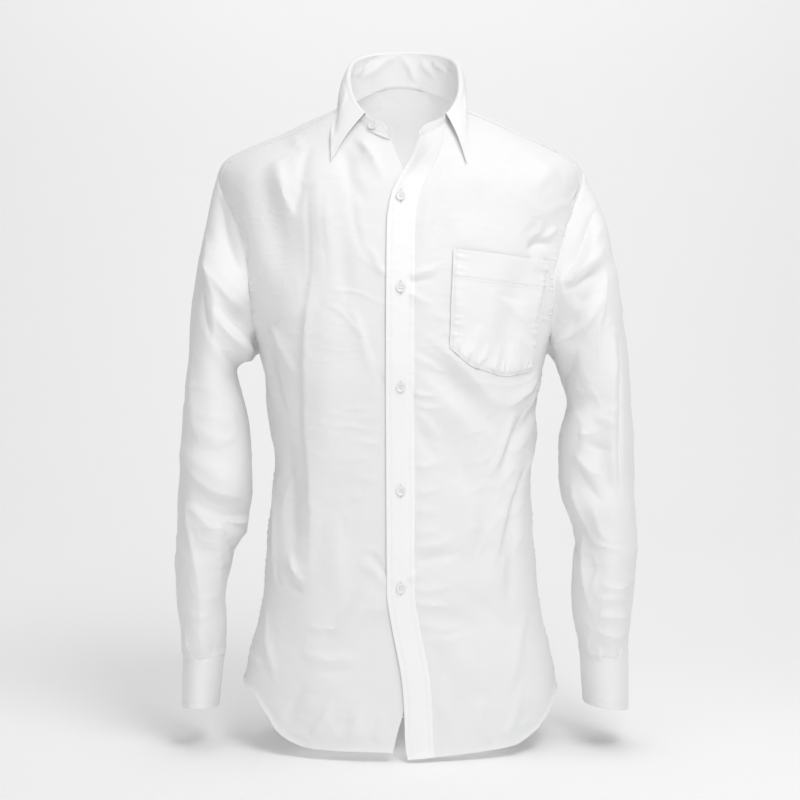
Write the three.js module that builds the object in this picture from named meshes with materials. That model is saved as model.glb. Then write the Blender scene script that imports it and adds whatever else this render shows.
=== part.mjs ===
import * as THREE from "three";

// A long-sleeved dress shirt, filled out as if worn, with its collar open.
// Millimetres. +Z is up, +Y is towards the shirt's back, +X is towards the wearer's left.
// The origin is between the shoulders, at the height of the neck's sides.

const WALL = 1.2; // thickness of every cloth wall
const HALF_SEAM = 0.2; // each piece stops this far short of a seam
const LAYER_GAP = 0.5; // between a layer and what is sewn on it
const FRONT_LIFT = 2.2; // how far the left front stands off the right front
const LIFT_ENDS = 48; // distance from the centre at which that lift has died away
const LIFT_FULL = 20; // distance from the centre up to which it is full
const PLACKET_WIDTH = 34;
const RING_POWER = 2.25; // 2 would be an ellipse, more is squarer
const FRONT_DIP = 28; // degrees that the armhole cuts into the front
const BACK_DIP = 26; // degrees that it cuts into the back
const DIP_POWER = 0.7; // below 1 rounds the armhole's bottom
const BUTTON_RADIUS = 5.5;
const BUTTON_SIDES = 14;
const BUTTON_X = 0.5; // the buttons' distance from the centre plane

// Rows of the body, from below the hem up to the neck seam. `left` and `right` are the half
// widths on -X and +X. The side, front and back each have a depth y and a height z.
const BODY = [
  { row: 0, left: 186, right: 182, sideY: 0, sideZ: -772, frontY: -116, frontZ: -772, backY: 120, backZ: -772 },
  { row: 1, left: 189, right: 186, sideY: 0, sideZ: -690, frontY: -115, frontZ: -690, backY: 118, backZ: -690 },
  { row: 2, left: 168, right: 166, sideY: 0, sideZ: -600, frontY: -113, frontZ: -600, backY: 113, backZ: -600 },
  { row: 3, left: 159, right: 159, sideY: 0, sideZ: -510, frontY: -112, frontZ: -510, backY: 107, backZ: -510 },
  { row: 4, left: 149, right: 157, sideY: 0, sideZ: -420, frontY: -113, frontZ: -420, backY: 105, backZ: -420 },
  { row: 5, left: 157, right: 166, sideY: 0, sideZ: -350, frontY: -118, frontZ: -350, backY: 109, backZ: -350 },
  { row: 6, left: 167, right: 175, sideY: 0, sideZ: -298, frontY: -123, frontZ: -298, backY: 113, backZ: -298 },
  { row: 7, left: 190, right: 193, sideY: 2, sideZ: -230, frontY: -125, frontZ: -230, backY: 115, backZ: -220 },
  { row: 8, left: 203, right: 206, sideY: 4, sideZ: -155, frontY: -118, frontZ: -163, backY: 110, backZ: -135 },
  { row: 9, left: 213, right: 214, sideY: 5, sideZ: -75, frontY: -108, frontZ: -108, backY: 97, backZ: -50 },
  { row: 10, left: 138, right: 143, sideY: 4, sideZ: -36, frontY: -98, frontZ: -80, backY: 85, backZ: -10 },
  { row: 11, left: 68, right: 74, sideY: 2, sideZ: -4, frontY: -88, frontZ: -52, backY: 75, backZ: 25 },
];
const ARMPIT_ROW = 6;
const SHOULDER_ROW = 9; // the shoulder's tip
const YOKE_ROW = 8.6; // the yoke's seam across the back
const NECK_ROW = 11;
const YOKE_FRONT_ANGLE = 69; // where the yoke's front seam meets the neck

// Soft folds of the body as strokes in x and z on the front (face -1) or the back (face 1).
const BODY_FOLDS = [
  { face: -1, x1: -158, z1: -76, x2: -128, z2: -150, width: 17, height: 4.5 },
  { face: -1, x1: -128, z1: -100, x2: -112, z2: -230, width: 15, height: -3.5 },
  { face: -1, x1: -104, z1: -210, x2: -108, z2: -430, width: 16, height: -4.0 },
  { face: -1, x1: -80, z1: -240, x2: -84, z2: -440, width: 18, height: 2.5 },
  { face: -1, x1: -118, z1: -520, x2: -92, z2: -690, width: 24, height: 3.0 },
  { face: -1, x1: 150, z1: -165, x2: 178, z2: -158, width: 15, height: -3.5 },
  { face: -1, x1: 128, z1: -400, x2: 112, z2: -600, width: 26, height: 3.0 },
  { face: -1, x1: 70, z1: -380, x2: 118, z2: -470, width: 20, height: -2.5 },
  { face: 1, x1: -120, z1: -130, x2: -96, z2: -330, width: 24, height: 3.5 },
  { face: 1, x1: 124, z1: -140, x2: 92, z2: -350, width: 24, height: 3.0 },
  { face: 1, x1: -60, z1: -380, x2: 70, z2: -420, width: 22, height: 3.0 },
  { face: 1, x1: 50, z1: -470, x2: 84, z2: -700, width: 28, height: 3.5 },
  { face: 1, x1: -70, z1: -460, x2: -52, z2: -690, width: 26, height: 3.0 },
];

// The bottom edge as a height for each angle round the body, 0 at the centre front.
const HEM = [
  { angle: -180, z: -764 },
  { angle: -150, z: -757 },
  { angle: -130, z: -733 },
  { angle: -112, z: -701 },
  { angle: -100, z: -691 },
  { angle: -90, z: -690 },
  { angle: -77, z: -691 },
  { angle: -64, z: -697 },
  { angle: -53, z: -719 },
  { angle: -48, z: -735 },
  { angle: -42, z: -745 },
  { angle: -33, z: -752 },
  { angle: 0, z: -754 },
  { angle: 4, z: -761 },
  { angle: 30, z: -755 },
  { angle: 44, z: -751 },
  { angle: 53, z: -742 },
  { angle: 62, z: -727 },
  { angle: 75, z: -704 },
  { angle: 90, z: -697 },
  { angle: 100, z: -697 },
  { angle: 112, z: -705 },
  { angle: 130, z: -735 },
  { angle: 150, z: -757 },
  { angle: 180, z: -764 },
];

// The two centre edges as x for each height.
const LEFT_FRONT_EDGE = [
  { z: -762, x: 8.5 },
  { z: -751, x: 6.3 },
  { z: -728, x: 5.1 },
  { z: -705, x: 4.4 },
  { z: -682, x: 2.9 },
  { z: -659, x: 0 },
  { z: -635, x: -4.6 },
  { z: -612, x: -9.1 },
  { z: -589, x: -13.2 },
  { z: -570, x: -15.4 },
  { z: -150, x: -15.4 },
  { z: -113, x: -9.7 },
  { z: -88, x: 2.5 },
  { z: -69, x: 13 },
  { z: -51, x: 21 },
];
const RIGHT_FRONT_EDGE = [
  { z: -754, x: -9 },
  { z: -729, x: -3 },
  { z: -706, x: 4 },
  { z: -680, x: 11 },
  { z: -640, x: 16 },
  { z: -600, x: 17 },
  { z: -150, x: 17 },
  { z: -113, x: 11 },
  { z: -79, x: 0 },
  { z: -51, x: -12 },
];

// Rings of the sleeves, from the armhole down to the cuff's seam. `out` and `in` are the ring's
// points away from and next to the body, `half` is half its depth and `y` its middle. A cuff's
// lower ring has `tilt`, how far its front is raised.
const RIGHT_SLEEVE = [
  { ring: 0, outX: -214, outZ: -77, inX: -167, inZ: -297, half: 62, y: 3 },
  { ring: 1, outX: -225, outZ: -116, inX: -173, inZ: -301, half: 70, y: 3 },
  { ring: 2, outX: -236, outZ: -165, inX: -178, inZ: -308, half: 75, y: 2 },
  { ring: 3, outX: -244.5, outZ: -225, inX: -188, inZ: -311, half: 76, y: 1 },
  { ring: 4, outX: -252, outZ: -290, inX: -195.5, inZ: -322, half: 75, y: 0 },
  { ring: 5, outX: -257, outZ: -350, inX: -188, inZ: -355, half: 74, y: -1 },
  { ring: 6, outX: -262, outZ: -405, inX: -180, inZ: -402, half: 74, y: -3 },
  { ring: 7, outX: -264, outZ: -450, inX: -178, inZ: -448, half: 74, y: -5 },
  { ring: 8, outX: -266, outZ: -485, inX: -181, inZ: -485, half: 71, y: -6 },
  { ring: 9, outX: -267, outZ: -515, inX: -187, inZ: -512, half: 69, y: -7 },
  { ring: 10, outX: -268, outZ: -550, inX: -200, inZ: -540, half: 66, y: -9 },
  { ring: 11, outX: -267.5, outZ: -590, inX: -209, inZ: -585, half: 62, y: -12 },
  { ring: 12, outX: -264, outZ: -630, inX: -209, inZ: -628, half: 57, y: -15 },
  { ring: 13, outX: -260, outZ: -655, inX: -213, inZ: -656, half: 47, y: -17 },
];
const LEFT_SLEEVE = [
  { ring: 0, outX: 215, outZ: -77, inX: 175, inZ: -297, half: 62, y: 3 },
  { ring: 1, outX: 230, outZ: -108, inX: 181, inZ: -303, half: 70, y: 3 },
  { ring: 2, outX: 245, outZ: -152, inX: 186, inZ: -312, half: 75, y: 2 },
  { ring: 3, outX: 258, outZ: -205, inX: 192, inZ: -325, half: 76, y: 1 },
  { ring: 4, outX: 266, outZ: -270, inX: 199, inZ: -344, half: 75, y: 0 },
  { ring: 5, outX: 272.5, outZ: -325, inX: 201, inZ: -363, half: 73, y: -1 },
  { ring: 6, outX: 277, outZ: -385, inX: 192, inZ: -394, half: 73, y: -3 },
  { ring: 7, outX: 279, outZ: -430, inX: 191, inZ: -430, half: 74, y: -4 },
  { ring: 8, outX: 280.5, outZ: -475, inX: 194, inZ: -465, half: 72, y: -6 },
  { ring: 9, outX: 281, outZ: -512, inX: 207, inZ: -506, half: 68, y: -7 },
  { ring: 10, outX: 281, outZ: -550, inX: 207, inZ: -545, half: 66, y: -9 },
  { ring: 11, outX: 279, outZ: -588, inX: 205, inZ: -582, half: 62, y: -12 },
  { ring: 12, outX: 275.5, outZ: -626, inX: 210, inZ: -622, half: 57, y: -15 },
  { ring: 13, outX: 272, outZ: -652, inX: 217, inZ: -653, half: 48, y: -17 },
];
const SLEEVE_FOLDS = [
  { face: -1, x1: -228, z1: -168, x2: -184, z2: -236, width: 11, height: 4.0 },
  { face: -1, x1: -216, z1: -232, x2: -170, z2: -266, width: 12, height: -5.5 },
  { face: -1, x1: -216, z1: -236, x2: -172, z2: -298, width: 10, height: 4.0 },
  { face: -1, x1: -240, z1: -150, x2: -236, z2: -285, width: 12, height: -3.0 },
  { face: -1, x1: -258, z1: -410, x2: -190, z2: -452, width: 13, height: 5.5 },
  { face: -1, x1: -242, z1: -458, x2: -182, z2: -482, width: 11, height: -6.0 },
  { face: -1, x1: -256, z1: -490, x2: -206, z2: -512, width: 14, height: 3.5 },
  { face: -1, x1: -240, z1: -520, x2: -226, z2: -630, width: 14, height: 3.0 },
  { face: 1, x1: -262, z1: -330, x2: -196, z2: -420, width: 16, height: 4.0 },
  { face: 1, x1: -258, z1: -440, x2: -196, z2: -490, width: 14, height: -4.5 },
  { face: 1, x1: -224, z1: -180, x2: -206, z2: -300, width: 18, height: 3.5 },
  { face: -1, x1: 243, z1: -170, x2: 194, z2: -220, width: 11, height: 4.0 },
  { face: -1, x1: 236, z1: -198, x2: 200, z2: -238, width: 9, height: -4.5 },
  { face: -1, x1: 236, z1: -226, x2: 176, z2: -303, width: 13, height: 4.5 },
  { face: -1, x1: 204, z1: -250, x2: 196, z2: -290, width: 11, height: -4.5 },
  { face: -1, x1: 246, z1: -205, x2: 252, z2: -460, width: 12, height: 4.0 },
  { face: -1, x1: 222, z1: -395, x2: 246, z2: -462, width: 13, height: -5.5 },
  { face: -1, x1: 206, z1: -360, x2: 214, z2: -420, width: 14, height: 3.5 },
  { face: -1, x1: 214, z1: -490, x2: 226, z2: -560, width: 13, height: -4.0 },
  { face: -1, x1: 244, z1: -500, x2: 240, z2: -630, width: 14, height: 3.0 },
  { face: 1, x1: 270, z1: -330, x2: 208, z2: -430, width: 16, height: 4.0 },
  { face: 1, x1: 268, z1: -450, x2: 206, z2: -500, width: 14, height: -4.5 },
  { face: 1, x1: 232, z1: -180, x2: 214, z2: -300, width: 18, height: 3.5 },
];
const RIGHT_CUFF = { outX: -260.5, outZ: -719, inX: -219, inZ: -719, half: 44, y: -22, tilt: 5 };
const LEFT_CUFF = { outX: 271.5, outZ: -721, inX: 220.5, inZ: -714, half: 45, y: -22, tilt: 3 };
const CUFF_OVERLAP = 28; // degrees that the cuff laps over itself
const CUFF_LAP_LIFT = 2.4; // how far the lap's end stands off
const CUFF_START = -78; // the cuff's opening, in degrees from the outside towards the back
const SLEEVE_OPENING = { from: -64, to: -44, top: 10.2, bottom: 12.9 };

// The collar by angle round the neck from the centre back, + towards +X: the top of the stand,
// where the leaf folds over, and the leaf's free edge.
const STAND_TOP = [
  { around: -168, x: -16, y: -87, z: -34 },
  { around: -146, x: -40, y: -68, z: -21 },
  { around: -118, x: -55, y: -38, z: 2 },
  { around: -90, x: -60.5, y: 0, z: 30 },
  { around: -60, x: -54, y: 37, z: 52.5 },
  { around: -30, x: -29, y: 63, z: 63.5 },
  { around: 0, x: 5.5, y: 71, z: 66.5 },
  { around: 30, x: 40, y: 63, z: 63.5 },
  { around: 60, x: 63.5, y: 37, z: 52.5 },
  { around: 90, x: 69.5, y: 0, z: 30 },
  { around: 118, x: 66, y: -38, z: 1 },
  { around: 142, x: 51, y: -68, z: -22 },
  { around: 162, x: 24, y: -87, z: -35 },
];
const LEAF_EDGE = [
  { around: -146, x: -79.5, y: -91, z: -74.5 },
  { around: -132, x: -80, y: -75, z: -51 },
  { around: -118, x: -80, y: -50, z: -26 },
  { around: -104, x: -79, y: -23, z: -11 },
  { around: -90, x: -76.5, y: 2, z: -5.5 },
  { around: -60, x: -71, y: 51, z: 3 },
  { around: -30, x: -38, y: 83, z: 15 },
  { around: 0, x: 5.5, y: 93, z: 20 },
  { around: 30, x: 49, y: 83, z: 15 },
  { around: 60, x: 77, y: 51, z: 3 },
  { around: 90, x: 77, y: 2, z: -1 },
  { around: 104, x: 77, y: -25, z: -7 },
  { around: 118, x: 77, y: -52, z: -22 },
  { around: 130, x: 77, y: -77, z: -51 },
  { around: 142, x: 76, y: -95, z: -79 },
];
const LEAF_START = LEAF_EDGE[0].around;
const LEAF_END = LEAF_EDGE[LEAF_EDGE.length - 1].around;
const LEAF_CLEARANCE = 0.9; // between the leaf and the shoulders it lies on
const LEAF_ROLL = 1.5; // inner radius of the leaf's turned edge
const LEAF_BULGE = 3; // how far the leaf bows out between its fold and its edge
const STAND_BUTTON_AROUND = -154;

// The pocket's outline as left and right ends of its rows, in x and z.
const POCKET = [
  { row: 0, leftX: 60, leftZ: -176, rightX: 172, rightZ: -190 },
  { row: 1, leftX: 58.5, leftZ: -214, rightX: 169, rightZ: -228 },
  { row: 2, leftX: 57, leftZ: -252, rightX: 164, rightZ: -270 },
  { row: 3, leftX: 56, leftZ: -288, rightX: 158, rightZ: -316 },
];
const POCKET_BOTTOM = [
  { across: 0, drop: 0 },
  { across: 0.22, drop: 13 },
  { across: 0.45, drop: 15 },
  { across: 0.66, drop: 15 },
  { across: 0.85, drop: 7 },
  { across: 1, drop: 0 },
];
const POCKET_LIFT = 1.1; // outer cloth of the front to the inner face of the pocket
const BUTTON_HEIGHTS = [-116, -220, -333, -452, -564];

const HEM_ROWS = 15; // rows of facets from the hem to the armpit
const ARMHOLE_ROWS = [6.05, 6.2, 6.45, 6.8, 7.2, 7.65, 8.12, YOKE_ROW];
const YOKE_STEPS = 5; // rows of facets across the yoke
const FRONT_STEPS = 8; // columns of facets across a front, past the placket
const BACK_STEPS = 16;
const YOKE_BACK_STEPS = 14;
const LEAF_ROLL_STEPS = 3;
const LEAF_STEPS = 5;
const ARMHOLE_FADE = 3.5; // rings over which a sleeve loses the armhole's own outline
const UPPER_RINGS = [0.5, 1, 1.6, 2.3, 3, 3.6, 4.2, 4.8, 5.4, 6, 6.6, 7.2];
const LOWER_RINGS = [7.8, 8.4, 9, 9.6, 10.2, 10.8, 11.4, 12, 12.5, 13];
const SLEEVE_RINGS = [...UPPER_RINGS, ...LOWER_RINGS];
const CUFF_STEPS = 26; // facets round a cuff
const POCKET_ROWS = 8;
const POCKET_COLUMNS = 7;

const SIDE_REACH = 170; // from the body's middle to its side seam
const SHOULDER_REACH = 180; // from the middle to the armhole's top
const NECK_REACH = 80; // from the middle to the neck seam
const YOKE_SEAM_ROWS = 0.003; // the seam's half gap in rows
const ARMHOLE_GAP = 0.7; // from the armhole's edge to the sleeve
const STAND_GAP = 0.6; // from the neck seam to the stand
const STAND_BUTTON_LIFT = 1.7; // from the stand's cloth to its button
const SLEEVE_PLACKET_LIFT = 1; // from the sleeve's cloth to its placket
const TURN_STEP = 0.02; // radians either side of a point for its direction

const radians = THREE.MathUtils.degToRad;
const mix = THREE.MathUtils.lerp;
const smoothstep = THREE.MathUtils.smoothstep;

// Every column of a table at one value of its key column, joined by a smooth curve.
function sample(table, key, at) {
  let index = 0;
  while (index < table.length - 2 && table[index + 1][key] <= at) {
    index += 1;
  }
  const start = table[index];
  const end = table[index + 1];
  const before = table[Math.max(index - 1, 0)];
  const after = table[Math.min(index + 2, table.length - 1)];
  const span = end[key] - start[key];
  const s = (at - start[key]) / span;
  const result = {};
  for (const name of Object.keys(start)) {
    const leaving = ((end[name] - before[name]) / (end[key] - before[key])) * span;
    const arriving = ((after[name] - start[name]) / (after[key] - start[key])) * span;
    const rise = end[name] - start[name];
    const cubic = leaving + arriving - 2 * rise;
    const square = 3 * rise - 2 * leaving - arriving;
    result[name] = start[name] + s * (leaving + s * (square + s * cubic));
  }
  return result;
}

// The same by straight lines.
function between(table, key, at, name) {
  let index = 0;
  while (index < table.length - 2 && table[index + 1][key] <= at) {
    index += 1;
  }
  const start = table[index];
  const end = table[index + 1];
  const s = THREE.MathUtils.clamp((at - start[key]) / (end[key] - start[key]), 0, 1);
  return mix(start[name], end[name], s);
}

// The plain body, without folds, at an angle in degrees and a row.
function plainBody(angle, row) {
  const r = sample(BODY, "row", row);
  const sine = Math.sin(radians(angle));
  const cosine = Math.cos(radians(angle));
  const reach = Math.abs(cosine) ** RING_POWER + Math.abs(sine) ** RING_POWER;
  const scale = reach ** (-1 / RING_POWER);
  const half = sine < 0 ? r.left : r.right;
  const endY = cosine > 0 ? r.frontY : r.backY;
  const endZ = cosine > 0 ? r.frontZ : r.backZ;
  const y = mix(r.sideY, endY, Math.abs(cosine) * scale);
  const z = mix(r.sideZ, endZ, cosine * cosine);
  return new THREE.Vector3(half * sine * scale, y, z);
}

function outwards(surface, angle, row) {
  const turn = surface(angle + 0.1, row).sub(surface(angle - 0.1, row));
  const rise = surface(angle, Math.min(row + 0.01, NECK_ROW)).sub(surface(angle, row - 0.01));
  return turn.cross(rise).normalize();
}

// How far the folds of a table move a point out, with `depth` its distance from the side seam.
function foldHeight(folds, point, depth) {
  let height = 0;
  for (const fold of folds) {
    if (fold.face * depth < 0) {
      continue;
    }
    const dx = fold.x2 - fold.x1;
    const dz = fold.z2 - fold.z1;
    const length = Math.hypot(dx, dz);
    const along = ((point.x - fold.x1) * dx + (point.z - fold.z1) * dz) / length ** 2;
    const across = ((point.x - fold.x1) * dz - (point.z - fold.z1) * dx) / length;
    const fade = smoothstep(along, -0.2, 0.3) * (1 - smoothstep(along, 0.7, 1.2));
    height += fold.height * fade * Math.exp(-((across / fold.width) ** 2));
  }
  return height * smoothstep(Math.abs(depth), 12, 45);
}

function bodyFold(point) {
  const centre = point.y < 0 ? smoothstep(Math.abs(point.x), 20, 50) : 1;
  return centre * foldHeight(BODY_FOLDS, point, point.y);
}

// The body's outer face at an angle and a row, moved out by `lift`, with its direction.
function body(angle, row, lift = 0) {
  const point = plainBody(angle, row);
  const normal = outwards(plainBody, angle, row);
  point.addScaledVector(normal, bodyFold(point) + lift);
  return { point, normal };
}

function angleAtX(row, x) {
  let low = -80;
  let high = 80;
  for (let step = 0; step < 40; step += 1) {
    const middle = (low + high) / 2;
    if (plainBody(middle, row).x < x) {
      low = middle;
    } else {
      high = middle;
    }
  }
  return (low + high) / 2;
}

// The angle and row of the front at a given x and z.
function frontAt(x, z) {
  let low = 0.2;
  let high = NECK_ROW;
  for (let step = 0; step < 40; step += 1) {
    const middle = (low + high) / 2;
    if (plainBody(angleAtX(middle, x), middle).z < z) {
      low = middle;
    } else {
      high = middle;
    }
  }
  return { angle: angleAtX(low, x), row: low };
}

function rowAtHeight(angle, z) {
  let low = 0;
  let high = 3;
  for (let step = 0; step < 40; step += 1) {
    const middle = (low + high) / 2;
    if (plainBody(angle, middle).z < z) {
      low = middle;
    } else {
      high = middle;
    }
  }
  return low;
}

function hemRow(angle) {
  return rowAtHeight(angle, sample(HEM, "angle", angle).z);
}

function armholeDip(row) {
  const share = (row - ARMPIT_ROW) / (SHOULDER_ROW - ARMPIT_ROW);
  return Math.max(Math.sin(Math.PI * share), 0) ** DIP_POWER;
}

// A closed solid wall from a grid of { point, normal } on its outer face. `around` joins the
// last column to the first.
function wall(grid, { thickness = WALL, around = false } = {}) {
  const rows = grid.length;
  const columns = grid[0].length;
  const outer = [];
  const inner = [];
  for (const line of grid) {
    for (const { point, normal } of line) {
      outer.push(point);
      inner.push(point.clone().addScaledVector(normal, -thickness));
    }
  }
  const faces = [];
  const steps = around ? columns : columns - 1;
  for (let i = 0; i < rows - 1; i += 1) {
    for (let j = 0; j < steps; j += 1) {
      const next = (j + 1) % columns;
      const a = i * columns + j;
      const b = i * columns + next;
      const c = (i + 1) * columns + next;
      const d = (i + 1) * columns + j;
      const longer = outer[a].distanceTo(outer[c]) > outer[b].distanceTo(outer[d]);
      if (longer) {
        faces.push([a, b, d], [b, c, d]);
      } else {
        faces.push([a, b, c], [a, c, d]);
      }
    }
  }
  const [first, second, third] = faces[Math.floor(faces.length / 2)];
  const across = outer[second].clone().sub(outer[first]);
  const along = outer[third].clone().sub(outer[first]);
  const facing = outer[first].clone().sub(inner[first]);
  if (across.cross(along).dot(facing) < 0) {
    faces.forEach((face) => face.reverse());
  }
  const count = outer.length;
  const edges = new Set(faces.flatMap(([a, b, c]) => [`${a},${b}`, `${b},${c}`, `${c},${a}`]));
  const closed = [...faces, ...faces.map(([a, b, c]) => [a + count, c + count, b + count])];
  for (const edge of edges) {
    const [a, b] = edge.split(",").map(Number);
    if (!edges.has(`${b},${a}`)) {
      closed.push([b, a, a + count], [b, a + count, b + count]);
    }
  }
  const positions = [...outer, ...inner].flatMap((point) => point.toArray());
  const geometry = new THREE.BufferGeometry();
  geometry.setAttribute("position", new THREE.Float32BufferAttribute(positions, 3));
  geometry.setIndex(closed.flat());
  return geometry;
}

function centreLift(x) {
  return FRONT_LIFT * (1 - smoothstep(Math.abs(x), LIFT_FULL, LIFT_ENDS));
}

// Degrees that stand for half a seam's gap at a distance from the body's middle.
function gapAngle(distance) {
  return THREE.MathUtils.radToDeg(HALF_SEAM / distance);
}

function yokeFrontAngle(row) {
  const start = 90 - FRONT_DIP * armholeDip(YOKE_ROW);
  return mix(start, YOKE_FRONT_ANGLE, (row - YOKE_ROW) / (NECK_ROW - YOKE_ROW));
}

// The angle at which a front ends towards the side, for a row.
function frontSideAngle(row) {
  if (row <= YOKE_ROW) {
    const dip = row <= ARMPIT_ROW ? 0 : FRONT_DIP * armholeDip(row);
    return 90 - dip - gapAngle(SIDE_REACH);
  }
  const share = (row - YOKE_ROW) / (NECK_ROW - YOKE_ROW);
  return yokeFrontAngle(row) - gapAngle(mix(SHOULDER_REACH, NECK_REACH, share));
}

function frontColumns(row, side, edge) {
  const edgeX = between(edge, "z", plainBody(0, row).z, "x");
  const start = angleAtX(row, edgeX);
  const end = side * frontSideAngle(row);
  const inset = angleAtX(row, edgeX + side * PLACKET_WIDTH);
  const halfInset = angleAtX(row, edgeX + (side * PLACKET_WIDTH) / 2);
  const angles = [start, halfInset, inset];
  for (let step = 1; step <= FRONT_STEPS; step += 1) {
    angles.push(mix(inset, end, step / FRONT_STEPS));
  }
  return angles;
}

const UPPER_ROWS = [...ARMHOLE_ROWS];
for (let step = 1; step <= YOKE_STEPS; step += 1) {
  UPPER_ROWS.push(mix(YOKE_ROW, NECK_ROW, step / YOKE_STEPS));
}

// A front as a grid, from the hem up. `side` is -1 on -X and 1 on +X.
function frontGrid(side, edge, lift) {
  const grid = [];
  const bottom = frontColumns(1, side, edge);
  for (let step = 0; step <= HEM_ROWS; step += 1) {
    grid.push(
      bottom.map((hemAngle, column) => {
        const row = mix(hemRow(hemAngle), ARMPIT_ROW, step / HEM_ROWS);
        return { row, angle: frontColumns(row, side, edge)[column] };
      }),
    );
  }
  for (const row of UPPER_ROWS) {
    grid.push(frontColumns(row, side, edge).map((angle) => ({ row, angle })));
  }
  return grid.map((line) =>
    line.map(({ row, angle }) => body(angle, row, lift(plainBody(angle, row).x))),
  );
}

function backAngles(margin) {
  const angles = [];
  for (let step = 0; step <= BACK_STEPS; step += 1) {
    angles.push(mix(90 + margin, 270 - margin, step / BACK_STEPS));
  }
  return angles;
}

function backGrid() {
  const grid = [];
  const gap = gapAngle(SIDE_REACH);
  for (let step = 0; step <= HEM_ROWS; step += 1) {
    grid.push(
      backAngles(gap).map((angle) => {
        const hemAngle = angle > 180 ? angle - 360 : angle;
        const row = mix(hemRow(hemAngle), ARMPIT_ROW, step / HEM_ROWS);
        return body(angle, row);
      }),
    );
  }
  for (const row of ARMHOLE_ROWS) {
    const margin = BACK_DIP * armholeDip(row) + gap;
    const height = row === YOKE_ROW ? row - YOKE_SEAM_ROWS : row;
    grid.push(backAngles(margin).map((angle) => body(angle, height)));
  }
  return grid;
}

// The yoke's outer boundary, from its front seam on +X round the back to that on -X.
function yokeBoundary() {
  const shoulder = [
    { row: YOKE_ROW, front: true },
    { row: 8.85, front: true },
    { row: SHOULDER_ROW, front: true },
    { row: 8.85, front: false },
  ].map(({ row, front }) => {
    const dip = armholeDip(row);
    return { row, angle: front ? 90 - FRONT_DIP * dip : 90 + BACK_DIP * dip };
  });
  shoulder[0].angle += gapAngle(SHOULDER_REACH);
  const start = 90 + BACK_DIP * armholeDip(YOKE_ROW) + gapAngle(SIDE_REACH);
  const across = [];
  for (let step = 0; step <= YOKE_BACK_STEPS; step += 1) {
    const angle = mix(start, 360 - start, step / YOKE_BACK_STEPS);
    across.push({ row: YOKE_ROW + YOKE_SEAM_ROWS, angle });
  }
  const mirrored = shoulder.map(({ row, angle }) => ({ row, angle: 360 - angle })).reverse();
  return [...shoulder, ...across, ...mirrored];
}

function yokeGrid() {
  const boundary = yokeBoundary();
  const startAngle = boundary[0].angle;
  const neckStart = YOKE_FRONT_ANGLE + gapAngle(NECK_REACH);
  const grid = [];
  for (let step = 0; step <= YOKE_STEPS; step += 1) {
    const share = step / YOKE_STEPS;
    grid.push(
      boundary.map(({ row, angle }) => {
        const turn = (angle - startAngle) / (180 - startAngle);
        const neckAngle = mix(neckStart, 180, turn);
        return body(mix(angle, neckAngle, share), mix(row, NECK_ROW, share));
      }),
    );
  }
  return grid;
}

// The armhole's points as the sleeve's first ring, from the shoulder's tip over the front to
// the armpit and up the back, moved into the opening by the seam's gap.
function armholeRing(side) {
  const rows = [SHOULDER_ROW, 8.85, ...[...ARMHOLE_ROWS].reverse(), ARMPIT_ROW];
  const front = rows.map((row) => ({ row, angle: 90 - FRONT_DIP * armholeDip(row) }));
  const back = rows.slice(1, -1).map((row) => ({ row, angle: 90 + BACK_DIP * armholeDip(row) }));
  const loop = [...front, ...back.reverse()];
  const middle = (ARMPIT_ROW + SHOULDER_ROW) / 2;
  return loop.map(({ row, angle }) => {
    const at = body(side * angle, row);
    const inwards = body(side * mix(angle, 90, 0.02), mix(row, middle, 0.02)).point.sub(at.point);
    at.point.addScaledVector(inwards.normalize(), ARMHOLE_GAP);
    return at;
  });
}

function ringPoint(ring, turn) {
  const share = (1 + Math.cos(turn)) / 2;
  const x = mix(ring.inX, ring.outX, share);
  const z = mix(ring.inZ, ring.outZ, share) + (ring.tilt ?? 0) * Math.sin(turn);
  return new THREE.Vector3(x, ring.y - ring.half * Math.sin(turn), z);
}

// The sleeve's outer face at a ring and a turn, 0 outside, a quarter turn in front.
function sleeve(table, ring, turn, lift = 0) {
  const at = (r, a) => ringPoint(sample(table, "ring", r), a);
  const last = table.length - 1;
  const point = at(ring, turn);
  const around = at(ring, turn + TURN_STEP).sub(at(ring, turn - TURN_STEP));
  const along = at(Math.min(ring + 0.05, last), turn).sub(at(ring - 0.05, turn));
  const normal = around.cross(along).normalize();
  if (normal.dot(point.clone().sub(at(ring, turn + Math.PI))) < 0) {
    normal.negate();
  }
  return { point: point.addScaledVector(normal, lift), normal };
}

// Each armhole point's turn round the sleeve, by its share of the way along the seam.
function sleeveTurns(loop) {
  const lengths = [0];
  for (let index = 1; index < loop.length; index += 1) {
    lengths.push(lengths[index - 1] + loop[index].point.distanceTo(loop[index - 1].point));
  }
  const armpit = loop.length / 2;
  const total = lengths[loop.length - 1] + loop[0].point.distanceTo(loop[loop.length - 1].point);
  return lengths.map((length, index) => {
    if (index <= armpit) {
      return (Math.PI * length) / lengths[armpit];
    }
    return Math.PI * (1 + (length - lengths[armpit]) / (total - lengths[armpit]));
  });
}

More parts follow.
